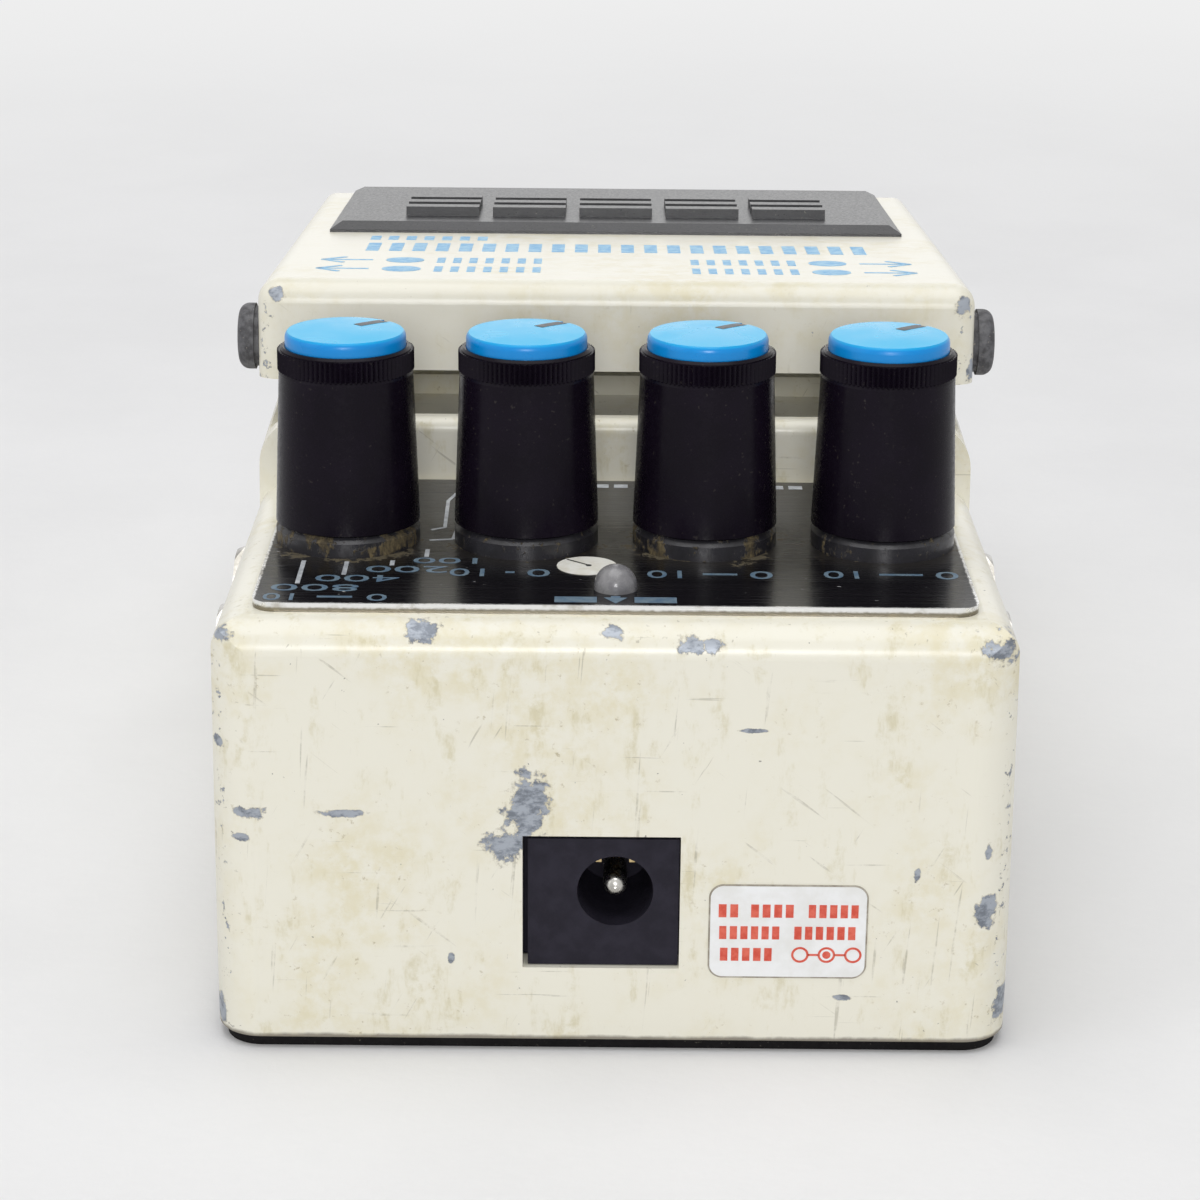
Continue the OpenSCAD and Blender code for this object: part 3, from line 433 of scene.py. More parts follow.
@dataclass(frozen=True)
class CreamPaint(Surface):
    """Old cream paint on a casting: stains, scratches, chips down to the blue-grey metal and rubbed edges.

    Attributes:
        tone: colour of clean paint.
        aged: colour of its yellowed patches.
        stain: colour of its streaks.
        grime: colour of its dirt.
        scratch: colour of its scratches.
        speck: colour of its dark specks.
        rubbed: colour round the chips.
        bare: colour of the metal under it.
        tarnish: colour of that metal's darker patches.
        foot: colour that the paint darkens to along the bottom edge.
        gloss: roughness of the paint.
        dull: roughness of the metal.
        rear: y of the rear face in millimetres.
        length: length of the body.
        half: half width of the body.
        side_arc: distances from a side where an upright corner's arc starts and where it is full.
        end_arc: the same distances from the rear or the front.
        low: height of its bottom edge.
        wear: how strongly streaks, scratches and specks show.
        scratches: the sets of scratches.
        chips: the larger chips, one by one.
    """

    tone: Colour = srgb(233, 230, 216)
    aged: Colour = srgb(220, 211, 176)
    stain: Colour = srgb(198, 188, 146)
    grime: Colour = srgb(166, 150, 110)
    scratch: Colour = srgb(148, 142, 126)
    speck: Colour = srgb(96, 92, 88)
    rubbed: Colour = srgb(160, 150, 128)
    bare: Colour = srgb(166, 172, 181)
    tarnish: Colour = srgb(118, 124, 133)
    foot: Colour = srgb(84, 72, 58)
    gloss: float = 0.26
    dull: float = 0.42
    rear: float = 66.7
    length: float = 121.5
    half: float = 34.8
    side_arc: Pair = (2.6, 0.9)
    end_arc: Pair = (3.4, 0.9)
    low: float = 1.2
    wear: float = 1.0
    scratches: tuple[ScratchSet, ...] = (
        ScratchSet((0.08, 2.6, 2.6), 11.0, 0.0, 0.69),
        ScratchSet((1.9, 1.9, 0.07), 4.0, 4.0, 0.69),
        ScratchSet((0.10, 2.2, 2.2), 17.0, 38.0, 0.71),
        ScratchSet((0.12, 2.4, 2.4), 23.0, -61.0, 0.71),
    )
    chips: tuple[Chip, ...] = ()

    def corners(self, g: Graph) -> Socket:
        """Share of an upright corner, one on the corner's arc and none on the faces.

        Args:
            g: the material's graph.

        Returns:
            A value from 0 to 1.
        """
        front_y = self.rear - self.length
        starts, full = self.end_arc
        side = g.ease(g.calc("ABSOLUTE", g.x), self.half - self.side_arc[0], self.half - self.side_arc[1])
        back = g.ease(g.y, self.rear - starts, self.rear - full)
        front = g.ease(g.y, front_y + starts, front_y + full)
        return g.calc("MULTIPLY", side, g.calc("MAXIMUM", back, front))

    def chipped(self, g: Graph) -> tuple[Socket, Socket]:
        """Where the paint is gone and where it is only rubbed.

        Every chip is an ellipsoid: the length of (place - middle) / reach is below one inside it. The least
        of these lengths, made ragged with noise, is cut at one.

        Args:
            g: the material's graph.

        Returns:
            Share of bare metal, and share of dark rubbed rim round it.
        """
        least: Value = 9.0
        for chip in self.chips:
            scale = tuple(1.0 / r for r in chip.reach)
            shift = tuple(-m / r for m, r in zip(chip.middle, chip.reach))
            away = g.vector("LENGTH", g.vector("MULTIPLY_ADD", g.mm, scale, shift))
            least = g.calc("MINIMUM", least, away)
        gap = g.calc("MULTIPLY_ADD", g.noise(1.3, 6.0, 0.68), 2.6, g.calc("SUBTRACT", least, 1.15))
        edge = g.ease(self.corners(g), 0.2, 0.9, 0.0, 0.13)
        edge = g.calc("ADD", g.noise(0.9, 4.0, 0.7, shift=2.2), edge)
        worn = g.calc("MAXIMUM", g.ease(gap, 1.04, 0.94), g.ease(edge, 0.745, 0.765))
        rim = g.calc("MAXIMUM", g.ease(gap, 1.2, 1.0), g.ease(edge, 0.715, 0.745))
        return worn, rim

    def stained(self, g: Graph, broad: Socket, fine: Socket) -> Socket:
        """Colour of the paint where it is whole: yellowed in patches, streaked and grimy.

        Args:
            g: the material's graph.
            broad: noise of the broad patches.
            fine: noise of the fine patches.

        Returns:
            The colour.
        """
        aged = g.calc("MULTIPLY", g.ease(broad, 0.42, 0.68), g.ease(fine, 0.34, 0.66))
        tone = g.mix(g.calc("MULTIPLY", aged, 0.7), self.tone, self.aged)
        streak = g.noise(3.4, 5.0, 0.68, (1.6, 1.6, 0.5), 6.6)
        streak = g.ease(streak, 0.53, 0.70, 0.0, 0.5 * self.wear)
        tone = g.mix(g.calc("MULTIPLY", streak, g.ease(fine, 0.40, 0.60)), tone, self.stain)
        grime = g.ease(g.noise(0.8, 5.0, 0.7, shift=8.4), 0.62, 0.72, 0.0, 0.6 * self.wear)
        return g.mix(g.calc("MULTIPLY", grime, g.ease(broad, 0.42, 0.58)), tone, self.grime)

    def scratched(self, g: Graph, fine: Socket) -> Socket:
        """Share of scratches, of all sets together and strongest in the fine patches.

        Args:
            g: the material's graph.
            fine: noise of the fine patches.

        Returns:
            A value from 0 to 1.
        """
        share: Value = 0.0
        for group in self.scratches:
            line = g.noise(1.0, 2.0, 0.5, group.stretch, group.shift, group.turn)
            share = g.calc("MAXIMUM", share, g.ease(line, group.cut, group.cut + 0.05))
        return g.calc("MULTIPLY", share, g.ease(fine, 0.42, 0.6, 0.04 * self.wear, 0.45 * self.wear))

    def fill(self, g: Graph) -> None:
        """Sets the nodes of the finish.

        Args:
            g: the material's graph.
        """
        broad = g.noise(16.0, 5.0, 0.62)
        fine = g.noise(2.2, 5.0, 0.65, shift=5.1)
        tone = g.mix(self.scratched(g, fine), self.stained(g, broad, fine), self.scratch)
        specks = g.ease(g.noise(0.6, 2.0, 0.5, shift=14.2), 0.76, 0.80, 0.0, 0.7 * self.wear)
        tone = g.mix(specks, tone, self.speck)
        worn, rim = self.chipped(g)
        tone = g.mix(g.calc("MULTIPLY", rim, 0.45), tone, self.rubbed)
        patches = g.ease(g.noise(1.2, 5.0, 0.7, (0.7, 1.0, 1.2), 9.1), 0.42, 0.62)
        tone = g.mix(worn, tone, g.mix(patches, self.bare, self.tarnish))
        # The paint darkens towards the bottom edge, in a ragged band close above it.
        foot = g.calc("ADD", g.z, g.calc("MULTIPLY", fine, 0.5))
        tone = g.mix(g.ease(foot, self.low + 0.75, self.low + 0.35, 0.0, 0.75), tone, self.foot)
        rough = g.calc("MULTIPLY_ADD", worn, self.dull - self.gloss, self.gloss)
        metal = g.calc("MULTIPLY", worn, 0.35)
        g.feed(Base_Color=tone, Roughness=rough, Metallic=metal, Specular_IOR_Level=0.36)
        orange_peel = g.calc("MULTIPLY", g.noise(0.9, 2.0, 0.5, shift=1.4), 0.25)
        g.bump(g.calc("SUBTRACT", orange_peel, worn), 0.07, 0.6)


def dusty_knobs(g: Graph, least: float) -> Socket:
    """Share of dust by knob: full at the first and third of the row, least at the others.

    The share is a cosine wave over x with a period of two pitches and its crest at 1.5 pitches.

    Args:
        g: the material's graph.
        least: share at the cleaner knobs.

    Returns:
        A value from least to one.
    """
    phase = g.calc("MULTIPLY", g.calc("SUBTRACT", g.x, 1.5 * KNOB_PITCH), math.pi / KNOB_PITCH)
    return g.calc("MULTIPLY_ADD", g.calc("COSINE", phase), (1.0 - least) / 2, (1.0 + least) / 2)


@dataclass(frozen=True)
class SealRubber(Surface):
    """Grey rubber rings with olive fluff caught on them, most at the first and third knob.

    Attributes:
        tone: colour of the rubber.
        deep: colour of its darker patches.
        fluff: colour of the dust.
        matted: colour of the dust where it lies thick.
    """

    tone: Colour = srgb(44, 43, 48)
    deep: Colour = srgb(27, 26, 30)
    fluff: Colour = srgb(112, 99, 70)
    matted: Colour = srgb(70, 61, 44)

    def fill(self, g: Graph) -> None:
        """Sets the nodes of the finish.

        Args:
            g: the material's graph.
        """
        patches = g.noise(1.6, 4.0, 0.6)
        fibres = g.noise(0.5, 5.0, 0.7, (1.0, 1.0, 0.5), 4.4)
        lumps = g.noise(2.8, 3.0, 0.6, shift=2.7)
        caught = g.calc("MULTIPLY", g.ease(lumps, 0.42, 0.62), dusty_knobs(g, 0.12))
        cover = g.ease(g.calc("MULTIPLY_ADD", caught, 0.36, fibres), 0.62, 0.78, 0.0, 0.95)
        tone = g.mix(g.ease(patches, 0.35, 0.68), self.tone, self.deep)
        tone = g.mix(cover, tone, g.mix(g.ease(fibres, 0.45, 0.7), self.matted, self.fluff))
        rough = g.calc("MULTIPLY_ADD", cover, 0.5, g.ease(patches, 0.3, 0.7, 0.24, 0.4))
        g.feed(Base_Color=tone, Roughness=rough)
        g.bump(g.calc("MULTIPLY_ADD", cover, fibres, g.calc("MULTIPLY", patches, 0.1)), 0.25, 0.6)


@dataclass(frozen=True)
class PlateLacquer(Surface):
    """Black gloss lacquer on a thin plate, brushed along X, with bare edges, dust round the knobs and nicks.

    Attributes:
        tone: colour of the lacquer.
        film: colour of the thin dirt round the knobs.
        nick: colour of the nicks.
        dust: colour of the dust.
        lint: colour of its paler specks.
        shade: colour of the bare edge low down.
        shine: colour of the bare edge at its top.
        tarnish: colour of the bare edge in patches.
        middle: y of the knob row in millimetres.
        half: half width of the plate.
        back: y of the plate's rear edge.
        seat: height of the plate's underside under the knob row.
        lean: rise of the plate per millimetre toward the rear.
    """

    tone: Colour = srgb(14, 13, 16)
    film: Colour = srgb(62, 56, 48)
    nick: Colour = srgb(190, 190, 190)
    dust: Colour = srgb(84, 76, 58)
    lint: Colour = srgb(136, 126, 100)
    shade: Colour = srgb(128, 122, 108)
    shine: Colour = srgb(236, 236, 234)
    tarnish: Colour = srgb(150, 140, 116)
    middle: float = 44.3
    half: float = 30.9
    back: float = 63.27
    seat: float = 38.9
    lean: float = 0.0524

    def from_knob(self, g: Graph, along: Socket) -> Socket:
        """Distance from the nearest knob's axis, sqrt(f f + a a) with f = ||x| - pitch| - pitch / 2.

        Args:
            g: the material's graph.
            along: a, the distance from the knob row along Y.

        Returns:
            The distance in millimetres.
        """
        fold = g.calc("ABSOLUTE", g.calc("SUBTRACT", g.calc("ABSOLUTE", g.x), KNOB_PITCH))
        fold = g.calc("SUBTRACT", fold, KNOB_PITCH / 2)
        return g.calc("SQRT", g.calc("MULTIPLY_ADD", fold, fold, g.calc("MULTIPLY", along, along)))

    def bare_edge(self, g: Graph, fine: Socket) -> Socket:
        """Share of bare metal: the upright edges, and the rim of the face where the lacquer is rubbed.

        Args:
            g: the material's graph.
            fine: noise that makes the rim ragged.

        Returns:
            A value from 0 to 1.
        """
        side = g.calc("SUBTRACT", self.half, g.calc("ABSOLUTE", g.x))
        rim = g.calc("MINIMUM", side, g.calc("SUBTRACT", self.back, g.y))
        rim = g.calc("SUBTRACT", rim, g.calc("MULTIPLY", fine, 0.55))
        return g.calc("MAXIMUM", g.ease(g.facing[2], 0.8, 0.5), g.ease(rim, 0.02, -0.12))

    def edge_tone(self, g: Graph, along: Socket, fine: Socket, lumps: Socket) -> Socket:
        """Colour of the bare edge, which is bright at its top and tarnished in patches.

        Args:
            g: the material's graph.
            along: distance from the knob row along Y.
            fine: noise that makes the bright line ragged.
            lumps: noise of the patches.

        Returns:
            The colour.
        """
        rise = g.calc("SUBTRACT", g.calc("SUBTRACT", g.z, self.seat), g.calc("MULTIPLY", along, self.lean))
        rise = g.calc("ADD", rise, g.calc("MULTIPLY", fine, 0.3))
        side = g.mix(g.ease(rise, 0.42, 0.66), self.shade, self.shine)
        return g.mix(g.ease(lumps, 0.52, 0.7, 0.0, 0.6), side, self.tarnish)

    def fill(self, g: Graph) -> None:
        """Sets the nodes of the finish.

        Args:
            g: the material's graph.
        """
        brushed = g.noise(1.0, 3.0, 0.6, (0.05, 5.0, 5.0))
        fine = g.noise(0.5, 4.0, 0.7, shift=3.7)
        lumps = g.noise(2.6, 4.0, 0.6, shift=6.2)
        along = g.calc("SUBTRACT", g.y, self.middle)
        away = self.from_knob(g, along)
        near = g.calc("MULTIPLY", g.ease(away, 9.4, 6.6), g.ease(lumps, 0.44, 0.62))
        near = g.calc("MULTIPLY", near, dusty_knobs(g, 0.45))
        dust = g.ease(g.calc("ADD", fine, g.calc("MULTIPLY", near, 0.40)), 0.72, 0.80)
        film = g.ease(away, 9.5, 6.4, 0.0, 0.20)
        nick = g.ease(g.noise(0.42, 2.0, 0.5, (0.5, 1.0, 1.0), 9.9), 0.74, 0.78)
        nick = g.calc("MULTIPLY", nick, g.ease(lumps, 0.46, 0.56))
        bare = self.bare_edge(g, fine)
        tone = g.mix(film, self.tone, self.film)
        tone = g.mix(nick, tone, self.nick)
        tone = g.mix(dust, tone, g.mix(g.ease(fine, 0.7, 0.9), self.dust, self.lint))
        tone = g.mix(bare, tone, self.edge_tone(g, along, fine, lumps))
        soft = g.calc("MULTIPLY", g.calc("MAXIMUM", dust, film), 0.55)
        rough = g.calc("ADD", g.ease(brushed, 0.3, 0.7, 0.17, 0.29), soft)
        g.feed(Base_Color=tone, Roughness=rough, Metallic=g.calc("MULTIPLY", bare, 0.7))
        g.bump(g.calc("MULTIPLY_ADD", brushed, 0.12, dust), 0.05, 0.5)


def seen_rays(tree: bpy.types.NodeTree) -> Socket:
    """Adds a light path test to a node tree.

    Args:
        tree: node tree of a material or a world.

    Returns:
        One for rays of the camera, of gloss and through glass, and none for soft light.
    """
    path = tree.nodes.new("ShaderNodeLightPath")
    result = path.outputs["Is Camera Ray"]
    for kind in ("Is Glossy Ray", "Is Transmission Ray"):
        either = tree.nodes.new("ShaderNodeMath")
        either.operation = "MAXIMUM"
        tree.links.new(result, either.inputs[0])
        tree.links.new(path.outputs[kind], either.inputs[1])
        result = either.outputs[0]
    return result


@dataclass(frozen=True)
class PaleFloor(Surface):
    """White cloth that takes the pedal's shadow and fades into the white surroundings away from it.

    Attributes:
        tone: colour of the cloth.
        deep: colour of its faint patches.
        level: white level of the surroundings, as the camera and gloss see them.
        near: millimetres from the middle where the fade starts.
        far: millimetres where it ends.
    """

    tone: Colour = srgb(237, 237, 238)
    deep: Colour = srgb(233, 233, 234)
    level: float = 0.86
    near: float = 170.0
    far: float = 470.0

    def fill(self, g: Graph) -> None:
        """Sets the nodes of the finish.

        Args:
            g: the material's graph.
        """
        g.feed(Base_Color=g.mix(g.ease(g.noise(60.0, 4.0, 0.6), 0.35, 0.68), self.tone, self.deep))
        g.feed(Roughness=0.9, Specular_IOR_Level=0.1)
        g.bump(g.noise(1.6, 3.0, 0.6, shift=7.3), 0.07)
        glow = g.tree.nodes.new("ShaderNodeEmission")
        g.put(glow.inputs["Color"], (self.level, self.level, self.level, 1.0))
        blend = g.tree.nodes.new("ShaderNodeMixShader")
        away = g.ease(g.vector("LENGTH", g.mm), self.near, self.far)
        g.put(blend.inputs[0], g.calc("MULTIPLY", away, seen_rays(g.tree)))
        g.put(blend.inputs[1], g.shader.outputs[0])
        g.put(blend.inputs[2], glow.outputs[0])
        end = next(n for n in g.tree.nodes if n.type == "OUTPUT_MATERIAL")
        g.put(end.inputs["Surface"], blend.outputs[0])


class Coat(Enum):
    """The even finishes of the pedal's pieces."""

    SOLE = Finish(srgb(13, 11, 13), srgb(22, 20, 21), 0.8, grain=0.4, relief=0.03, specular=0.2, dust=0.2)
    ZINC = Finish(srgb(186, 188, 192), srgb(158, 160, 166), 0.34, 1.0, 8.0, 0.7, 0.01)
    SCREW = Finish(srgb(170, 170, 172), srgb(120, 116, 110), 0.36, 1.0, 2.0, 0.3, 0.01)
    STEEL = Finish(srgb(196, 197, 200), srgb(168, 169, 174), 0.28, 1.0, 4.0, 0.3, 0.006)
    NICKEL = Finish(srgb(205, 203, 198), srgb(150, 147, 140), 0.26, 1.0, 2.0, 0.4, 0.01)
    BRASS = Finish(srgb(226, 205, 160), srgb(180, 156, 110), 0.3, 1.0, 1.2, 0.3, 0.008)
    SHAFT = Finish(srgb(200, 200, 203), srgb(170, 170, 174), 0.32, 1.0, 3.0, 0.25, 0.01, (1.0, 1.0, 6.0))
    LAMP = Finish(srgb(138, 137, 138), srgb(116, 115, 118), 0.24, patch=1.5, grain=0.4, relief=0.004,
                  coat=0.15)
    BLACK_PLASTIC = Finish(srgb(27, 26, 29), srgb(40, 39, 42), 0.42, grain=0.35, relief=0.01)
    SOCKET = Finish(srgb(36, 34, 43), srgb(43, 41, 51), 0.46, patch=2.0, grain=0.25, relief=0.012,
                    specular=0.12)
    BLUE_PLASTIC = Finish(srgb(52, 74, 120), srgb(42, 60, 100), 0.45, grain=0.4, relief=0.01)
    KNOB = Finish(srgb(17, 12, 21), srgb(21, 15, 26), 0.27, patch=5.0, grain=0.5, relief=0.002, specular=0.1,
                  dust=0.06)
    # The caps' tops get a paler colour as a painted highlight for the light that falls on them.
    CAP_BLUE = Finish(srgb(4, 136, 213), srgb(8, 141, 218), 0.3, patch=5.0, grain=6.0, relief=0.002,
                      specular=0.36, painted_top_light=srgb(6, 184, 234))
    POINTER = Finish(srgb(48, 47, 52), srgb(70, 70, 76), 0.45, patch=1.0, grain=0.2, relief=0.01)
    PAD = Finish(srgb(28, 28, 31), srgb(38, 38, 42), 0.34, patch=7.0, grain=0.3, relief=0.012, dust=0.2)
    CAP_RUBBER = Finish(srgb(98, 98, 101), srgb(58, 57, 60), 0.62, patch=0.9, grain=0.25, relief=0.05,
                        dust=0.8)
    NYLON = Finish(srgb(226, 224, 214), srgb(206, 203, 190), 0.45, grain=0.4, relief=0.01)
    BOARD = Finish(srgb(40, 92, 56), srgb(30, 72, 46), 0.38, patch=2.4, grain=0.5, relief=0.03)
    PAPER_TAN = Finish(srgb(206, 190, 146), srgb(190, 172, 128), 0.8, grain=0.3, relief=0.03)
    SLEEVE = Finish(srgb(40, 50, 104), srgb(30, 38, 84), 0.32, grain=0.4, relief=0.006)
    GREY_CABLE = Finish(srgb(186, 186, 180), srgb(168, 168, 162), 0.5, grain=0.4, relief=0.01)
    BATTERY = Finish(srgb(96, 100, 108), srgb(76, 79, 86), 0.4, 0.3, grain=0.4, relief=0.01)
    RED_LEAD = Finish(srgb(178, 36, 30), srgb(150, 28, 24), 0.42, grain=0.4, relief=0.01)
    FOAM = Finish(srgb(62, 62, 66), srgb(44, 44, 48), 0.95, patch=1.2, grain=0.5, relief=0.2, specular=0.2)
    PAPER = Finish(srgb(238, 239, 240), srgb(228, 228, 226), 0.6, patch=3.0, grain=0.3, relief=0.006)
    LABEL_EDGE = Finish(srgb(176, 170, 158), srgb(140, 132, 118), 0.7, patch=1.0, grain=0.3, relief=0.01)
    STICKER = Finish(srgb(244, 243, 236), srgb(230, 227, 214), 0.5, patch=1.5, grain=0.3, relief=0.01)
    RED_INK = Finish(srgb(205, 72, 52), srgb(222, 104, 84), 0.55, patch=0.7, grain=0.2, relief=0.004)
    BLUE_INK = Finish(srgb(100, 168, 214), srgb(150, 198, 226), 0.45, patch=1.0, grain=0.2, relief=0.004)
    BLUE_GREY_INK = Finish(srgb(104, 124, 138), srgb(76, 102, 126), 0.5, patch=0.8, grain=0.2, relief=0.004)
    WHITE_INK = Finish(srgb(190, 194, 198), srgb(156, 160, 166), 0.5, patch=0.8, grain=0.2, relief=0.004)
    BLACK_INK = Finish(srgb(20, 19, 20), srgb(34, 32, 32), 0.5, patch=0.5, grain=0.2, relief=0.004)


EvenNodes = tuple[tuple[Coat, tuple[str, ...]], ...]


class Coats:
    """The materials of the even finishes, each made once when it is first asked for."""

    def __init__(self) -> None:
        """Starts with no materials made."""
        self.made: dict[Coat, Material] = {}

    def of(self, coat: Coat) -> Material:
        """Gives the material of a finish.

        Args:
            coat: the finish.

        Returns:
            Its material.
        """
        if coat not in self.made:
            self.made[coat] = coat.value.make(coat.name.lower())
        return self.made[coat]

    def lay(self, node: str, material: Material) -> None:
        """Gives a CAD node its material.

        Args:
            node: name of the node.
            material: the material.
        """
        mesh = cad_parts[node].data
        mesh.materials.clear()
        mesh.materials.append(material)
        LOG.info("dressed %s in %s", node, material.name)


class Inkwork:
    """Flat printed shapes in one plane, gathered into one thin closed mesh.

    Attributes:
        thick: thickness of the shapes in millimetres.
        points: points of the shapes so far.
        faces: their faces.
        count: number of points so far.
    """

    def __init__(self, thick: float) -> None:
        """Starts with no shapes.

        Args:
            thick: thickness of the shapes to come.
        """
        self.thick = thick
        self.points: list[np.ndarray] = []
        self.faces: Faces = []
        self.count = 0

    def add(self, points: np.ndarray, faces: Faces) -> None:
        """Adds a closed shape.

        Args:
            points: its points.
            faces: point numbers of each of its faces.
        """
        self.points.append(points)
        self.faces += [[p + self.count for p in face] for face in faces]
        self.count += len(points)

    def shape(self, outline: np.ndarray) -> None:
        """Adds a slab with the given outline.

        The outline (x, y) is drawn twice, at z = 0 and z = thick, and the two are joined by side faces.

        Args:
            outline: points of the outline, against the clock.
        """
        n = len(outline)
        flat = np.column_stack([outline, np.zeros(n)])
        i = np.arange(n)
        ends = [i[::-1].tolist(), (i + n).tolist()]
        sides = np.column_stack([i, (i + 1) % n, (i + 1) % n + n, i + n]).tolist()
        self.add(np.vstack([flat, flat + [0.0, 0.0, self.thick]]), ends + sides)

    def plate(self, middle: Pair, size: Pair, radius: float) -> None:
        """Adds a rectangle with round corners.

        The outline is a circle of the radius, whose four quarters are moved out by half the size less the
        radius.

        Args:
            middle: its middle.
            size: its width and height.
            radius: radius of its corners.
        """
        steps = 40
        a = (np.arange(steps) + 0.5) * FULL_TURN / steps
        c, d = np.cos(a), np.sin(a)
        x = middle[0] + radius * c + np.sign(c) * (size[0] / 2 - radius)
        y = middle[1] + radius * d + np.sign(d) * (size[1] / 2 - radius)
        self.shape(np.column_stack([x, y]))

    def dashes(self, start: Pair, end: float, height: float, pitch: float = 1.0, fill: float = 0.68) -> None:
        """Adds a row of short upright dashes.

        The row is cut into a whole number of steps near the pitch, with a dash in the middle of each.

        Args:
            start: left end of the row, at half its height.
            end: x of the right end.
            height: height of a dash.
            pitch: distance from dash to dash.
            fill: share of the pitch that a dash covers.
        """
        count = max(int(round((end - start[0]) / pitch)), 1)
        step = (end - start[0]) / count
        for k in range(count):
            x = start[0] + (k + 0.5) * step
            self.bar((x - step * fill / 2, start[1]), (x + step * fill / 2, start[1]), height)

    def bar(self, start: Pair, end: Pair, width: float) -> None:
        """Adds a straight stroke, its two ends moved by half the width to each side.

        Args:
            start: middle of its first end.
            end: middle of its second end.
            width: its width.
        """
        a, b = np.array(start), np.array(end)
        run = (b - a) / np.linalg.norm(b - a) * width / 2
        side = np.array([-run[1], run[0]])
        self.shape(np.array([a - side, b - side, b + side, a + side]))

    def disc(self, middle: Pair, radius: float, steps: int = 64) -> None:
        """Adds a round spot, x = mx + r cos a and y = my + r sin a.

        Args:
            middle: its middle.
            radius: its radius.
            steps: points round its edge.
        """
        a = np.linspace(0.0, FULL_TURN, steps, endpoint=False)
        self.shape(np.column_stack([middle[0] + radius * np.cos(a), middle[1] + radius * np.sin(a)]))

    def ring(self, middle: Pair, radius: float, width: float, steps: int = 48) -> None:
        """Adds a ring, a rectangle run round a circle.

        Point (a, k) is at radius r + e_k and height h_k for the rectangle's corners (e, h).

        Args:
            middle: centre of the ring.
            radius: mean radius.
            width: width of the band.
            steps: points round the circle.
        """
        a = np.linspace(0.0, FULL_TURN, steps, endpoint=False)[:, None]
        e = np.array([-0.5, 0.5, 0.5, -0.5]) * width
        h = np.array([0.0, 0.0, 1.0, 1.0]) * self.thick
        r = radius + e[None, :]
        x, y = middle[0] + r * np.cos(a), middle[1] + r * np.sin(a)
        points = np.stack([x, y, np.broadcast_to(h, (steps, 4))], axis=-1)
        self.add(points.reshape(-1, 3), grid_faces(steps, 4, True, True).tolist())

    def arrow(self, tip: Pair, turn: float, length: float, width: float) -> None:
        """Adds an arrow with a shaft and a head.

        Its outline is drawn along X with its point at zero, turned there, and moved to the tip.

        Args:
            tip: point of the arrow.
            turn: direction it points in, in degrees.
            length: length over all.
            width: width of its head.
        """
        w, head, shaft = width / 2, width * 0.8, width * 0.2
        shape = np.array([[0, 0], [-head, w], [-head, shaft], [-length, shaft], [-length, -shaft],
                          [-head, -shaft], [-head, -w]])
        c, s = math.cos(math.radians(turn)), math.sin(math.radians(turn))
        self.shape(shape @ np.array([[c, s], [-s, c]]) + np.array(tip))

    def numeral(self, text: str, middle: Pair, height: float, wide: float) -> None:
        """Adds plain figures.

        Args:
            text: the figures.
            middle: centre of their box.
            height: height of a figure.
            wide: how much wider than usual they are drawn.
        """
        curve = bpy.data.curves.new("figures", "FONT")
        curve.body = text
        curve.align_x = "CENTER"
        curve.align_y = "CENTER"
        curve.size = height * FONT_PER_FIGURE
        curve.resolution_u = 3
        curve.extrude = self.thick / 2
        holder = bpy.data.objects.new("figures", curve)
        bpy.context.scene.collection.objects.link(holder)
        graph = bpy.context.evaluated_depsgraph_get()
        mesh = bpy.data.meshes.new_from_object(holder.evaluated_get(graph))
        flat = np.zeros(len(mesh.vertices) * 3)
        mesh.vertices.foreach_get("co", flat)
        points = flat.reshape(-1, 3) * [wide, 1.0, 1.0] + [middle[0], middle[1], self.thick / 2]
        self.add(points, [list(face.vertices) for face in mesh.polygons])
        bpy.data.objects.remove(holder)
        bpy.data.meshes.remove(mesh)

    def make(self, name: str, plane: Matrix, lift: float, material: Material, body: str, slot: str) -> Piece:
        """Makes the gathered shapes into one piece.

        A point p goes to R (p + lift Z) + t, with the turn R and the place t of the plane.

        Args:
            name: name of the piece.
            plane: frame of the printed surface in the model, in millimetres.
            lift: height of the surface over the plane.
            material: finish of the ink.
            body: CAD body that carries it.
            slot: not used.

        Returns:
            The new object.
        """
        turn = np.array(plane.to_3x3())
        points = (np.vstack(self.points) + [0.0, 0.0, lift]) @ turn.T + np.array(plane.translation)
        return make_piece(name, points, self.faces, material, body)


@dataclass
class SubAssembly(ABC):
    """A group of CAD nodes that is dressed together and gets its own added pieces.

    Attributes:
        even: the nodes that have an even finish, by that finish.
    """

    even: EvenNodes = ()

    def dress(self, coats: Coats) -> None:
        """Gives the nodes with an even finish theirs.

        Args:
            coats: the even finishes.
        """
        for coat, nodes in self.even:
            for node in nodes:
                coats.lay(node, coats.of(coat))

    @abstractmethod
    def build(self, coats: Coats) -> list[Piece]:
        """Makes the group's added pieces and returns them."""


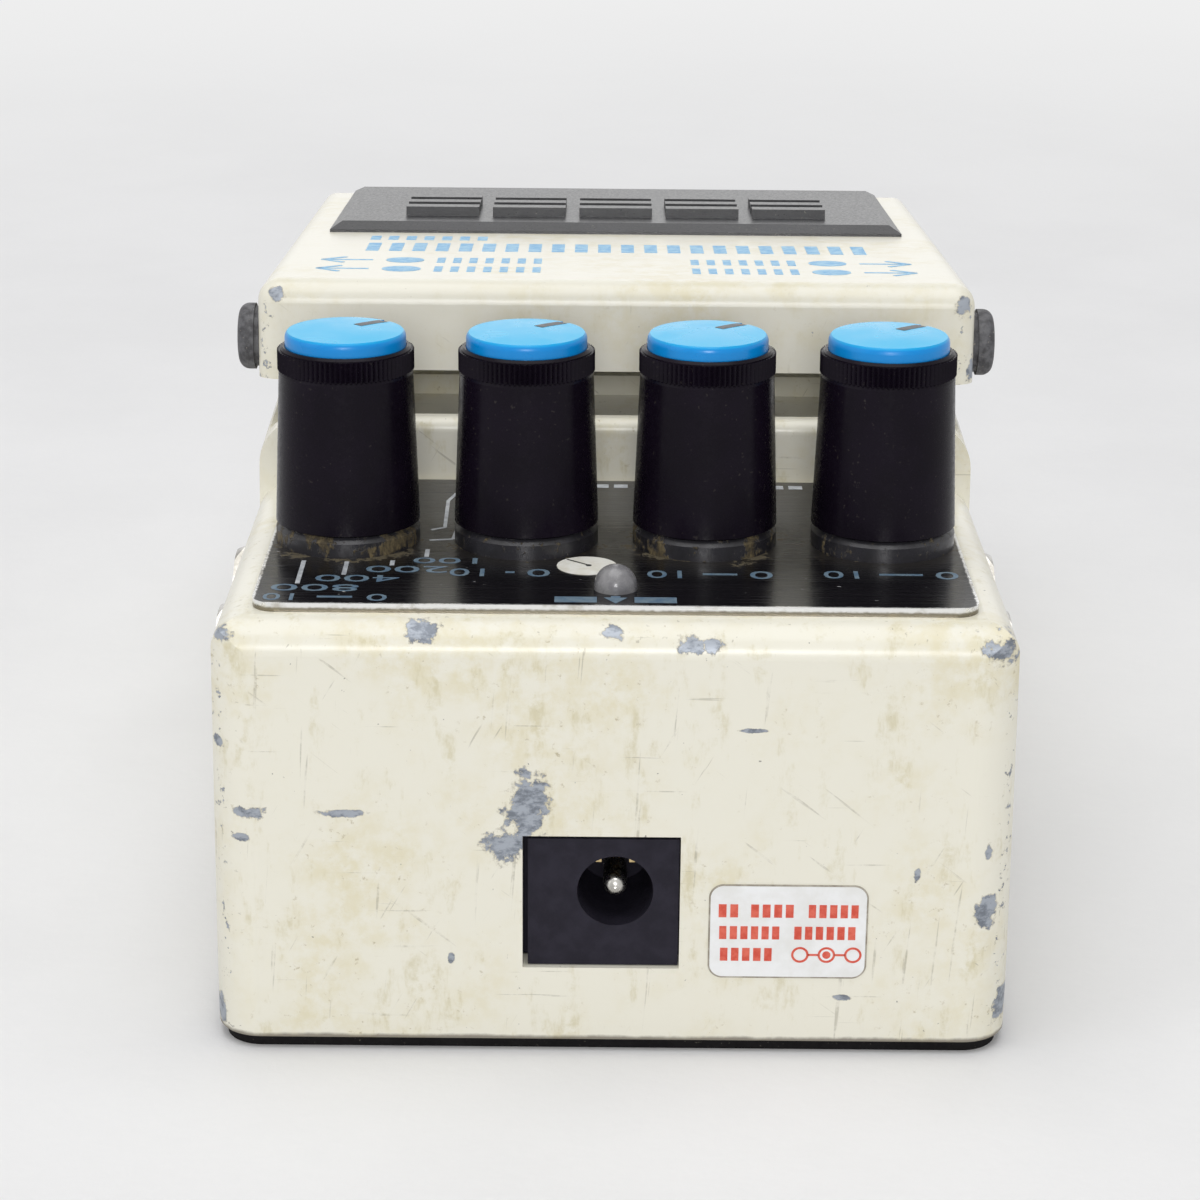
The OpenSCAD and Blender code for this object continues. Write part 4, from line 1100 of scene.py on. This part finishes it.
@dataclass
class Housing(SubAssembly):
    """The casting, its base and sole: worn paint, and the paper label on its rear face.

    Attributes:
        half: half width of the painted body in millimetres.
        label: middle of the label, toward the photograph's right and up.
        label_size: width and height of the label.
        label_corner: radius of its corners.
        label_rim: width of the backing that shows round the paper.
        layers: thickness of backing, paper and ink.
        dash_rows: height of each row over the label's middle, and where its runs of dashes start and end.
        dash: height of a dash.
        sign: middle of the sign of three rings, from the label's middle.
        sign_pitch: distance from ring to ring.
        sign_ring: radius of a ring.
        sign_dot: radius of the dot in the middle ring.
        sign_line: width of the rings and of the lines between them.
        sign_gap: distance of those lines from the rings' centres.
        chips: places without paint.
    """

    even: EvenNodes = (
        (Coat.ZINC, ("base_plate",)),
        (Coat.SOLE, ("base_rubber",)),
        (Coat.SCREW, ("base_screws",)),
    )
    half: float = 34.8
    label: Pair = (15.2, 11.9)
    label_size: Pair = (13.8, 9.0)
    label_corner: float = 1.3
    label_rim: float = 0.15
    layers: Triple = (0.06, 0.03, 0.02)
    dash_rows: tuple[tuple[float, tuple[float, ...]], ...] = (
        (2.0, (-6.2, -4.2, -3.4, 0.6, 1.6, 6.2)),
        (-0.1, (-6.1, -0.6, 0.4, 6.0)),
        (-2.2, (-6.0, -1.2)),
    )
    dash: float = 1.25
    sign: Pair = (3.4, -2.2)
    sign_pitch: float = 2.3
    sign_ring: float = 0.66
    sign_dot: float = 0.36
    sign_line: float = 0.2
    sign_gap: float = 0.7
    chips: tuple[Chip, ...] = (
        Chip((16.1, 65.6, 39.2), (1.5, 1.6, 0.9)), Chip((0.3, 65.6, 39.2), (1.0, 1.4, 0.6)),
        Chip((-6.3, 66.1, 38.3), (1.5, 1.6, 0.7)), Chip((-8.2, 66.1, 38.4), (1.0, 1.5, 0.8)),
        Chip((-32.2, 64.8, 38.0), (1.8, 2.4, 1.6)), Chip((7.3, 66.7, 23.6), (1.9, 3.0, 3.4)),
        Chip((9.4, 66.7, 19.9), (1.8, 3.0, 1.6)), Chip((31.0, 66.5, 22.8), (1.5, 3.0, 0.6)),
        Chip((23.2, 66.7, 22.8), (2.7, 3.0, 0.35)), Chip((31.9, 66.3, 20.4), (0.8, 3.0, 0.4)),
        Chip((-32.3, 66.0, 13.8), (1.0, 2.5, 1.7)), Chip((-32.2, 66.0, 19.6), (0.4, 2.5, 0.9)),
        Chip((-34.2, 64.4, 4.4), (0.9, 2.5, 1.8)), Chip((34.4, 64.2, 2.8), (0.8, 2.5, 1.4)),
        Chip((-26.2, 66.7, 17.4), (0.35, 2.0, 0.8)), Chip((-11.7, 66.7, 30.8), (1.2, 2.0, 0.2)),
        Chip((33.0, 65.3, 38.8), (0.8, 1.4, 0.8)), Chip((33.8, 65.6, 28.9), (0.5, 1.6, 0.6)),
        Chip((-20.0, 66.7, 5.5), (0.9, 2.0, 0.3)), Chip((14.0, 66.7, 9.0), (0.3, 2.0, 0.5)),
    )

    def dress(self, coats: Coats) -> None:
        """Gives the casting its worn paint, and the base its finishes.

        Args:
            coats: the even finishes.
        """
        super().dress(coats)
        low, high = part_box("chassis")
        paint = CreamPaint(rear=high.y / MM, half=self.half, low=low.z / MM, chips=self.chips)
        coats.lay("chassis", paint.make("cream_paint"))

    def marks(self) -> Inkwork:
        """Draws the label's plain dashes and its sign of three rings.

        Returns:
            The gathered shapes.
        """
        ink = Inkwork(self.layers[2])
        x, z = self.label
        for row, ends in self.dash_rows:
            for left, right in zip(ends[::2], ends[1::2]):
                ink.dashes((x + left, z + row), x + right, self.dash)
        middle, level = x + self.sign[0], z + self.sign[1]
        gap = self.sign_gap
        ink.disc((middle, level), self.sign_dot)
        for step in (-1, 0, 1):
            ink.ring((middle + step * self.sign_pitch, level), self.sign_ring, self.sign_line)
        for step in (-1, 1):
            start, end = middle + step * gap, middle + step * (self.sign_pitch - gap)
            ink.bar((start, level), (end, level), self.sign_line)
        return ink

    def build(self, coats: Coats) -> list[Piece]:
        """Puts the white label with plain red marks beside the power socket.

        Args:
            coats: the even finishes.

        Returns:
            The label's backing, paper and marks.
        """
        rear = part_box("chassis")[1].y / MM
        face = Matrix(((-1, 0, 0, 0), (0, 0, 1, rear), (0, 1, 0, 0), (0, 0, 0, 1)))
        thick, sheet, _ = self.layers
        wide, high = self.label_size
        backing = Inkwork(thick)
        backing.plate(self.label, self.label_size, self.label_corner)
        paper = Inkwork(sheet)
        inner = (wide - 2 * self.label_rim, high - 2 * self.label_rim)
        paper.plate(self.label, inner, self.label_corner - self.label_rim)
        marks = self.marks()
        return [
            backing.make("label_backing", face, 0.0, coats.of(Coat.LABEL_EDGE), "body", "cream_paint"),
            paper.make("label_paper", face, thick, coats.of(Coat.PAPER), "body", "cream_paint"),
            marks.make("label_marks", face, thick + sheet, coats.of(Coat.RED_INK), "body", "cream_paint"),
        ]


@dataclass(frozen=True)
class Figure:
    """Plain figures on the plate: the figures, their middle, their height and how wide they are drawn."""

    text: str
    middle: Pair
    height: float
    wide: float


@dataclass(frozen=True)
class Scale:
    """A knob's plain scale of a nought, a line and a ten.

    Attributes:
        middle: its middle in the plate's plane.
        half: half its width.
        height: height of its figures.
        nought: distance of the nought's middle from the scale's start, and how wide it is drawn.
        ten: distance of the ten's middle from the scale's end, and how wide it is drawn.
        line: distances of the line from the scale's start and end, and its width.
    """

    middle: Pair
    half: float
    height: float = 2.2
    nought: Pair = (0.9, 1.5)
    ten: Pair = (1.4, 1.3)
    line: Triple = (3.0, 4.4, 0.45)

    def draw(self, ink: Inkwork) -> None:
        """Adds the scale to the ink.

        Args:
            ink: shapes that it is added to.
        """
        x, y = self.middle
        start, end = x - self.half, x + self.half
        ink.numeral("0", (start + self.nought[0], y), self.height, self.nought[1])
        ink.bar((start + self.line[0], y), (end - self.line[1], y), self.line[2])
        ink.numeral("10", (end - self.ten[0], y), self.height, self.ten[1])


@dataclass
class ControlPlate(SubAssembly):
    """The black plate with its plain figures, leader lines, round sticker and lamp.

    Attributes:
        top: height of the plate's face over its seat in millimetres.
        edge_in: distance from the rear of the plate's box to the middle of its leaning edge.
        ink: thickness of the print.
        delays: figures beside the first knob, in the plate's plane.
        scales: a scale for each knob.
        lamp_bars: inner and outer end of the bars beside the lamp's arrow, and their y.
        lamp_bar: height of those bars.
        lamp_arrow: tip of the arrow toward the lamp.
        lamp_arrow_size: length and width of that arrow.
        leaders: x, start and end of the lines that lead to the first knob's figures.
        brackets: lines that lead from the first knob to the front, point by point.
        line: widths of the leaders and of the brackets.
        front_marks: middles of the pairs of short marks at the front edge.
        front_runs: start and end of each mark of a pair, from its middle.
        front_mark: height of those marks.
        sticker: middle and radius of the white sticker.
        sticker_thick: thickness of the sticker.
        pen: start and end of the pen line on the sticker, from the sticker's middle.
        pen_dot: middle and radius of the dot at its start, from there too.
        pen_size: width and thickness of the pen line.
    """

    even: EvenNodes = (
        (Coat.LAMP, ("lamp_lens",)),
        (Coat.BLACK_PLASTIC, ("lamp_holder",)),
    )
    top: float = 0.8
    edge_in: float = 0.02
    ink: float = 0.02
    delays: tuple[Figure, ...] = (
        Figure("100", (14.6, 6.6), 1.7, 1.9), Figure("200", (18.2, 9.2), 1.9, 1.9),
        Figure("400", (22.4, 11.9), 1.9, 1.9), Figure("800", (25.8, 14.6), 1.9, 2.0),
    )
    scales: tuple[Scale, ...] = (
        Scale((24.6, 17.2), 5.2, 1.9), Scale((9.9, 9.9), 4.1),
        Scale((-8.4, 10.0), 5.2), Scale((-24.2, 9.7), 5.6),
    )
    lamp_bars: Triple = (1.6, 5.2, 17.4)
    lamp_bar: float = 1.5
    lamp_arrow: Pair = (0.0, 18.4)
    lamp_arrow_size: Pair = (2.0, 2.0)
    leaders: tuple[Triple, ...] = ((27.4, 7.0, 13.6), (23.6, 7.2, 11.0), (19.6, 6.8, 8.2), (16.7, 3.4, 5.6))
    brackets: tuple[tuple[Pair, ...], ...] = (
        ((16.7, -2.6), (15.5, -3.4), (15.6, -12.0), (14.9, -14.6)),
        ((16.7, 0.6), (14.6, 0.2), (14.3, -3.6)),
    )
    line: Pair = (0.4, 0.34)
    front_marks: tuple[Pair, ...] = ((0.4, -17.4), (-16.2, -17.4))
    front_runs: tuple[Pair, ...] = ((-1.6, -0.3), (0.2, 1.5))
    front_mark: float = 1.1
    sticker: Triple = (2.5, 7.9, 2.64)
    sticker_thick: float = 0.05
    pen: tuple[Pair, Pair] = ((-0.15, -0.1), (1.75, -1.75))
    pen_dot: Triple = (-0.15, -0.05, 0.26)
    pen_size: Pair = (0.2, 0.015)

    def dress(self, coats: Coats) -> None:
        """Gives the plate, the seals and the lamp their finishes.

        Args:
            coats: the even finishes.
        """
        super().dress(coats)
        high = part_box("control_panel")[1]
        lacquer = PlateLacquer(half=high.x / MM, back=high.y / MM - self.edge_in)
        coats.lay("control_panel", lacquer.make("plate_black"))
        coats.lay("knob_seals", SealRubber().make("seal"))

    def figures(self) -> Inkwork:
        """Draws plain figures and scales beside the knobs, to be read from the player's side.

        Returns:
            The gathered shapes.
        """
        ink = Inkwork(self.ink)
        for figure in self.delays:
            ink.numeral(figure.text, figure.middle, figure.height, figure.wide)
        for scale in self.scales:
            scale.draw(ink)
        inner, outer, y = self.lamp_bars
        for side in (-1.0, 1.0):
            ink.bar((side * inner, y), (side * outer, y), self.lamp_bar)
        rearward = 90.0
        ink.arrow(self.lamp_arrow, rearward, *self.lamp_arrow_size)
        return ink

    def lines(self) -> Inkwork:
        """Draws the leader lines, the bracket lines and the short marks at the front edge.

        Returns:
            The gathered shapes.
        """
        ink = Inkwork(self.ink)
        leader, bracket = self.line
        for x, start, end in self.leaders:
            ink.bar((x, start), (x, end), leader)
        for route in self.brackets:
            for first, second in zip(route, route[1:]):
                ink.bar(first, second, bracket)
        for x, y in self.front_marks:
            for start, end in self.front_runs:
                ink.bar((x + start, y), (x + end, y), self.front_mark)
        return ink

    def pen_line(self) -> Inkwork:
        """Draws the short pen line and its dot on the sticker.

        Returns:
            The gathered shapes.
        """
        x, y, _ = self.sticker
        width, thick = self.pen_size
        start, end = ((x + across, y + along) for across, along in self.pen)
        across, along, radius = self.pen_dot
        ink = Inkwork(thick)
        ink.bar(start, end, width)
        ink.disc((x + across, y + along), radius, steps=20)
        return ink

    def build(self, coats: Coats) -> list[Piece]:
        """Prints the plate and puts on the round white sticker.

        Args:
            coats: the even finishes.

        Returns:
            Figures, lines, sticker and pen line.
        """
        x, y, radius = self.sticker
        paper = Inkwork(self.sticker_thick)
        paper.disc((x, y), radius)
        over = self.top + self.sticker_thick
        sheets = (
            ("plate_figures", self.figures(), self.top, Coat.BLUE_GREY_INK),
            ("plate_lines", self.lines(), self.top, Coat.WHITE_INK),
            ("round_sticker", paper, self.top, Coat.STICKER),
            ("sticker_line", self.pen_line(), over, Coat.BLACK_INK),
        )
        plane = Plane.PLATE.matrix()
        return [ink.make(name, plane, lift, coats.of(coat), "body", "plate_black")
                for name, ink, lift, coat in sheets]


@dataclass
class KnobRow(SubAssembly):
    """Four knobs: gloss skirts, blue caps and the dark strips of their pointers.

    Attributes:
        top: height of the cap's middle over the plate's seat in millimetres.
        radius: radius of the cap.
        dome: fall of the dome from the middle to the edge.
        edge: radius of the rounded edge.
        turn: direction of the pointers in degrees.
        strip: distances from the axis where a pointer starts and ends.
        strip_half: half its width.
        strip_thick: its thickness.
        strip_lift: height of its top over the cap.
        strip_steps: points along it.
    """

    even: EvenNodes = (
        (Coat.KNOB, tuple(f"knob_{knob.label()}_skirt" for knob in Knob)),
        (Coat.CAP_BLUE, tuple(f"knob_{knob.label()}_cap" for knob in Knob)),
        (Coat.SHAFT, tuple(f"knob_{knob.label()}_shaft" for knob in Knob)),
    )
    top: float = 20.15
    radius: float = 5.36
    dome: float = 0.25
    edge: float = 0.8
    turn: float = -132.0
    strip: Pair = (1.5, 5.08)
    strip_half: float = 0.5
    strip_thick: float = 0.06
    strip_lift: float = 0.02
    strip_steps: int = 30

    def cap_height(self, r: np.ndarray) -> np.ndarray:
        """Height of the cap, z = top - dome (r / R)^2 - e (1 - sqrt(1 - q^2)).

        Here q is how far r is into the rounded edge, from 0 to 1.

        Args:
            r: distances from the axis.

        Returns:
            Heights over the plate's seat.
        """
        q = np.clip((r - self.radius + self.edge) / self.edge, 0.0, 0.999)
        return self.top - self.dome * (r / self.radius) ** 2 - self.edge * (1.0 - np.sqrt(1.0 - q * q))

    def build(self, coats: Coats) -> list[Piece]:
        """Lays a dark strip over each cap's groove.

        A rectangle is carried outward along the cap's height, turned about the axis to the pointer's
        direction, moved to its knob and leaned with the plate.

        Args:
            coats: the even finishes.

        Returns:
            The four strips.
        """
        r = np.linspace(self.strip[0], self.strip[1], self.strip_steps)
        high = self.cap_height(r) + self.strip_lift
        low = high - self.strip_thick
        corners = ((-1, low), (1, low), (1, high), (-1, high))
        runs = [np.stack([r, np.full_like(r, side * self.strip_half), z], axis=-1) for side, z in corners]
        ring = np.stack(runs, axis=1).reshape(-1, 3)
        c, s = math.cos(math.radians(self.turn)), math.sin(math.radians(self.turn))
        turn = np.array([[c, s, 0.0], [-s, c, 0.0], [0.0, 0.0, 1.0]])
        last = len(ring) - 1
        faces = grid_faces(len(r), 4, False, True)[:, ::-1].tolist()
        faces += [[0, 1, 2, 3], [last, last - 1, last - 2, last - 3]]
        plane = Plane.PLATE.matrix()
        pieces = []
        for knob in Knob:
            local = ring @ turn + [knob.value, 0.0, 0.0]
            points = local @ np.array(plane.to_3x3()).T + np.array(plane.translation)
            name, body = f"pointer_{knob.label()}", f"knob_{knob.label()}"
            pieces.append(make_piece(name, points, faces, coats.of(Coat.POINTER), body))
        return pieces


@dataclass
class Treadle(SubAssembly):
    """The foot plate with its pad, hinge caps, thumbscrew and blue print.

    Attributes:
        top: height of the treadle's face over the hinge axis in millimetres.
        ink: thickness of the print.
        rows: places of the two rows of print at each side, from the hinge axis.
        tip: x of the arrows' tips.
        barb: length and half width of an arrow's head.
        shaft: length of an arrow.
        line: width of an arrow's strokes.
        spot: x and radius of the round spots.
        run: where a row of dashes starts and ends.
        dash: height, pitch and fill of those dashes.
        long_row: start and end of the long row of dashes, and its place.
        long_dash: height, pitch and fill of its dashes.
        short_row: start and end of the short row beside the pad, and its place.
        short_dash: height, pitch and fill of its dashes.
        wear: how strongly its paint is worn.
        chips: places without paint.
    """

    even: EvenNodes = (
        (Coat.PAD, ("treadle_pad",)),
        (Coat.CAP_RUBBER, ("hinge_caps",)),
        (Coat.STEEL, ("hinge_shaft", "screw_clip")),
        (Coat.ZINC, ("thumbscrew", "spring_cup")),
        (Coat.NYLON, ("switch_pusher",)),
    )
    top: float = 6.2
    ink: float = 0.03
    rows: Pair = (-3.2, -9.6)
    tip: float = 29.2
    barb: Pair = (2.2, 2.0)
    shaft: float = 5.0
    line: float = 0.5
    spot: Pair = (21.0, 1.9)
    run: Pair = (7.0, 18.2)
    dash: Triple = (3.6, 1.6, 0.5)
    long_row: Triple = (-26.0, 26.0, -19.6)
    long_dash: Triple = (6.0, 2.4, 0.55)
    short_row: Triple = (13.0, 26.0, -26.8)
    short_dash: Triple = (3.0, 1.9, 0.55)
    wear: float = 0.3
    chips: tuple[Chip, ...] = (
        Chip((-33.0, 20.6, 55.0), (0.9, 1.2, 0.9)), Chip((32.3, 20.4, 55.7), (0.8, 1.1, 0.7)),
        Chip((-34.2, 20.4, 48.6), (0.6, 1.2, 1.3)), Chip((-20.0, 21.4, 47.6), (1.4, 1.2, 0.4)),
    )

    def dress(self, coats: Coats) -> None:
        """Gives the foot plate its lightly worn paint, without the darker band at its foot, and the rest its
        finishes.

        Args:
            coats: the even finishes.
        """
        super().dress(coats)
        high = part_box("treadle")[1]
        below_all = -10.0
        paint = CreamPaint(rear=high.y / MM, half=high.x / MM, low=below_all, wear=self.wear,
                           chips=self.chips)
        coats.lay("treadle", paint.make("cream_paint_treadle"))

    def side_row(self, ink: Inkwork, side: float, y: float) -> None:
        """Draws an arrow toward a jack, with a spot and dashes behind it.

        Args:
            ink: shapes that it is added to.
            side: 1 at the side of positive x, -1 at the other.
            y: place of the row.
        """
        tip = side * self.tip
        for end in (-self.barb[1], self.barb[1]):
            ink.bar((tip, y), (tip - side * self.barb[0], y + end), self.line)
        ink.bar((tip, y), (tip - side * self.shaft, y), self.line)
        ink.disc((side * self.spot[0], y), self.spot[1], steps=32)
        start, end = sorted(side * x for x in self.run)
        ink.dashes((start, y), end, *self.dash)

    def build(self, coats: Coats) -> list[Piece]:
        """Prints arrows toward the jacks and plain dashes between them.

        Args:
            coats: the even finishes.

        Returns:
            The print as one piece.
        """
        ink = Inkwork(self.ink)
        for side in (-1.0, 1.0):
            for y in self.rows:
                self.side_row(ink, side, y)
        for (start, end, y), dash in ((self.long_row, self.long_dash), (self.short_row, self.short_dash)):
            ink.dashes((start, y), end, *dash)
        plane, material = Plane.TREADLE.matrix(), coats.of(Coat.BLUE_INK)
        return [ink.make("treadle_marks", plane, self.top, material, "treadle", "cream_paint")]


@dataclass
class Inside(SubAssembly):
    """What the housing holds: boards, jacks, power socket, battery, switch and the return spring.

    Attributes:
        wire: radius of the spring's wire in millimetres.
        wire_sides: points round the wire.
        coils: turns of the spring, of which one at each end lies close.
        coil_steps: points along one turn.
        close: pitch of the close turns.
        foam_grid: points along and across the foam.
        foam_edge: share of the foam's height that is left at its pressed edge.
    """

    even: EvenNodes = (
        (Coat.BOARD, ("control_board", "main_board")),
        (Coat.PAPER_TAN, ("insulator_sheet",)),
        (Coat.STEEL, ("pot_level", "pot_feedback", "pot_time", "board_screws")),
        (Coat.BLUE_PLASTIC, ("mode_switch",)),
        (Coat.SOCKET, ("power_socket",)),
        (Coat.NICKEL, ("power_pin", "jack_washers", "jack_nuts")),
        (Coat.BRASS, ("power_contact", "battery_terminals")),
        (Coat.BLACK_PLASTIC, ("jack_in_a", "jack_in_b", "jack_out_a", "jack_out_b", "processor_chip",
                              "memory_chips", "foot_switch", "spring_seat", "battery_snap")),
        (Coat.SLEEVE, ("capacitors",)),
        (Coat.GREY_CABLE, ("ribbon_cable",)),
        (Coat.NYLON, ("guide_bush", "switch_plunger")),
        (Coat.BATTERY, ("battery",)),
        (Coat.RED_LEAD, ("battery_leads",)),
    )
    wire: float = 0.6
    wire_sides: int = 14
    coils: int = 7
    coil_steps: int = 48
    close: float = 1.7
    foam_grid: tuple[int, int] = (49, 29)
    foam_edge: float = 0.55

    def spring(self, coats: Coats) -> Piece:
        """Winds the return spring, smooth, in the place of the plain CAD coil.

        With k the turns wound so far, a point of the wire is at radius R + w cos b, angle 2 pi k and height
        z(k) + w sin b, where z rises by the close pitch in the first and last turn and evenly between them.

        Args:
            coats: the even finishes.

        Returns:
            The spring.
        """
        lo, hi = (np.array(v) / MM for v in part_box("return_spring"))
        middle = (lo + hi) / 2
        mean = (hi[0] - lo[0]) / 2 - self.wire
        sides = self.wire_sides
        k = np.linspace(0.0, self.coils, self.coils * self.coil_steps + 1)[:, None]
        b = np.linspace(0.0, FULL_TURN, sides, endpoint=False)[None, :]
        first, last = lo[2] + self.wire, hi[2] - self.wire
        rise = np.interp(k, [0.0, 1.0, self.coils - 1.0, self.coils],
                         [first, first + self.close, last - self.close, last])
        a, r = FULL_TURN * k, mean + self.wire * np.cos(b)
        x, y = middle[0] + r * np.cos(a), middle[1] + r * np.sin(a)
        points = np.stack([x, y, rise + self.wire * np.sin(b)], axis=-1).reshape(-1, 3)
        faces = grid_faces(len(k), sides, False, True).tolist()
        end = sides * (len(k) - 1)
        faces += [list(range(sides - 1, -1, -1)), list(range(end, end + sides))]
        coil = make_piece("spring_coil", points, faces, coats.of(Coat.STEEL), "body", True)
        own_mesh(coil)
        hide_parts("return_spring")
        return coil

    def foam(self, coats: Coats) -> Piece:
        """Makes the soft pad under the battery, with a rounded edge and a slight crown.

        Over its plan (u, v) from -1 to 1 the top is at z = low + h (e + (1 - e)(1 - u^8)(1 - v^8)), with e
        the share left at the edge, so the edges are pressed thin, and the underside is flat.

        Args:
            coats: the even finishes.

        Returns:
            The pad.
        """
        lo, hi = (np.array(v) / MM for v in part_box("foam_pad"))
        n, m = self.foam_grid
        u, v = np.meshgrid(np.linspace(-1, 1, n), np.linspace(-1, 1, m), indexing="ij")
        crown = self.foam_edge + (1.0 - self.foam_edge) * (1.0 - u ** 8) * (1.0 - v ** 8)
        x = (lo[0] + hi[0]) / 2 + u * (hi[0] - lo[0]) / 2
        y = (lo[1] + hi[1]) / 2 + v * (hi[1] - lo[1]) / 2
        top = np.stack([x, y, lo[2] + (hi[2] - lo[2]) * crown], axis=-1).reshape(-1, 3)
        under = np.stack([x, y, np.full_like(x, lo[2])], axis=-1).reshape(-1, 3)
        count = n * m
        grid = grid_faces(n, m, False, False)
        rim = np.concatenate([np.arange(0, m - 1), np.arange(m - 1, count - 1, m),
                              np.arange(count - 1, count - m, -1), np.arange(count - m, 0, -m)])
        after = np.roll(rim, -1)
        sides = np.column_stack([rim, after, after + count, rim + count])
        faces = grid[:, ::-1].tolist() + (grid + count).tolist() + sides.tolist()
        pad = make_piece("battery_foam", np.vstack([top, under]), faces, coats.of(Coat.FOAM), "body")
        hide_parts("foam_pad")
        return pad

    def build(self, coats: Coats) -> list[Piece]:
        """Makes the return spring and the battery's foam and returns them."""
        return [self.spring(coats), self.foam(coats)]


@dataclass(frozen=True)
class Lamp:
    """A square lamp that looks at the pedal.

    Attributes:
        name: name of the lamp.
        place: where it hangs, in metres.
        size: side of the square in metres.
        power: its power in watts.
        aim: point that it looks at, in metres.
    """

    name: str
    place: Triple
    size: float
    power: float
    aim: Triple = (0.0, 0.0, 0.03)

    def hang(self) -> None:
        """Adds the lamp to the scene, facing the point that it looks at."""
        data = bpy.data.lights.new(self.name, "AREA")
        data.size = self.size
        data.energy = self.power
        lamp = bpy.data.objects.new(self.name, data)
        lamp.location = self.place
        lamp.rotation_euler = (Vector(self.aim) - Vector(self.place)).to_track_quat("-Z", "Y").to_euler()
        bpy.context.scene.collection.objects.link(lamp)


@dataclass
class Stage:
    """Pale floor, soft lamps and even sky.

    Attributes:
        half: half the side of the floor in metres.
        sky: strength of the sky.
        lamps: a lamp overhead, one behind the camera, one on the photograph's left, and a low one on the far
            side, seen in the gloss of what lies flat.
        cloth: finish of the floor.
    """

    half: float = 1.6
    sky: float = 0.38
    lamps: tuple[Lamp, ...] = (
        Lamp("lamp_over", (0.05, 0.1, 1.1), 1.0, 6.8),
        Lamp("lamp_fill", (0.0, 1.36, 0.485), 0.32, 6.0),
        Lamp("lamp_side", (1.1, 0.5, 0.6), 0.8, 1.0),
        Lamp("lamp_back", (0.0, -1.1, 0.42), 1.1, 1.8),
    )
    cloth: PaleFloor = PaleFloor()

    def floor(self) -> None:
        """Lays a large pale floor under the pedal."""
        corners = [(x * self.half, y * self.half, 0.0) for x, y in ((-1, -1), (1, -1), (1, 1), (-1, 1))]
        mesh = bpy.data.meshes.new("floor")
        mesh.from_pydata(corners, [], [(0, 1, 2, 3)])
        mesh.materials.append(self.cloth.make("floor"))
        ground = bpy.data.objects.new("floor", mesh)
        bpy.context.scene.collection.objects.link(ground)

    def light(self) -> None:
        """Sets the sky, which is white to the camera and weaker as a light, and hangs the lamps."""
        world = bpy.data.worlds.new("sky")
        world.use_nodes = True
        tree = world.node_tree
        background = next(n for n in tree.nodes if n.type == "BACKGROUND")
        background.inputs["Color"].default_value = (1.0, 1.0, 1.0, 1.0)
        strength = tree.nodes.new("ShaderNodeMath")
        strength.operation = "MULTIPLY_ADD"
        tree.links.new(seen_rays(tree), strength.inputs[0])
        strength.inputs[1].default_value = self.cloth.level - self.sky
        strength.inputs[2].default_value = self.sky
        tree.links.new(strength.outputs[0], background.inputs["Strength"])
        bpy.context.scene.world = world
        for lamp in self.lamps:
            lamp.hang()


@dataclass
class PhotoCamera:
    """The camera that took the photograph, as fitted to it.

    Attributes:
        place: position in metres.
        down: degrees that it looks down.
        roll: degrees that it leans to one side.
        lens: focal length in millimetres.
        sensor: width of the picture in millimetres.
        clip: nearest and farthest distance that it sees, in metres.
    """

    place: Triple = (0.00133, 0.31836, 0.13965)
    down: float = 21.1
    roll: float = 0.5
    lens: float = 97.2
    sensor: float = 36.0
    clip: Pair = (0.01, 20.0)

    def build(self) -> None:
        """Adds the camera, looking along -Y, and sets the view transform."""
        data = bpy.data.cameras.new("photo_camera")
        data.lens = self.lens
        data.sensor_width = self.sensor
        data.clip_start, data.clip_end = self.clip
        camera = bpy.data.objects.new("photo_camera", data)
        turn = Matrix.Rotation(math.pi, 4, "Z") @ Matrix.Rotation(math.radians(90.0 - self.down), 4, "X")
        turn = turn @ Matrix.Rotation(math.radians(self.roll), 4, "Z")
        camera.matrix_world = Matrix.Translation(self.place) @ turn
        scene = bpy.context.scene
        scene.collection.objects.link(camera)
        scene.camera = camera
        scene.view_settings.view_transform = "Standard"


def main() -> None:
    """Dresses the pedal, builds its added pieces, then sets the stage and the camera."""
    logging.basicConfig(level=logging.INFO, format="%(message)s")
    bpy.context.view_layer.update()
    coats = Coats()
    parts: tuple[SubAssembly, ...] = (Housing(), ControlPlate(), KnobRow(), Treadle(), Inside())
    for part in parts:
        part.dress(coats)
    for part in parts:
        for piece in part.build(coats):
            LOG.info("built %s of %s", piece.name, type(part).__name__)
    stage = Stage()
    stage.floor()
    stage.light()
    PhotoCamera().build()


if __name__ == "__main__":
    main()
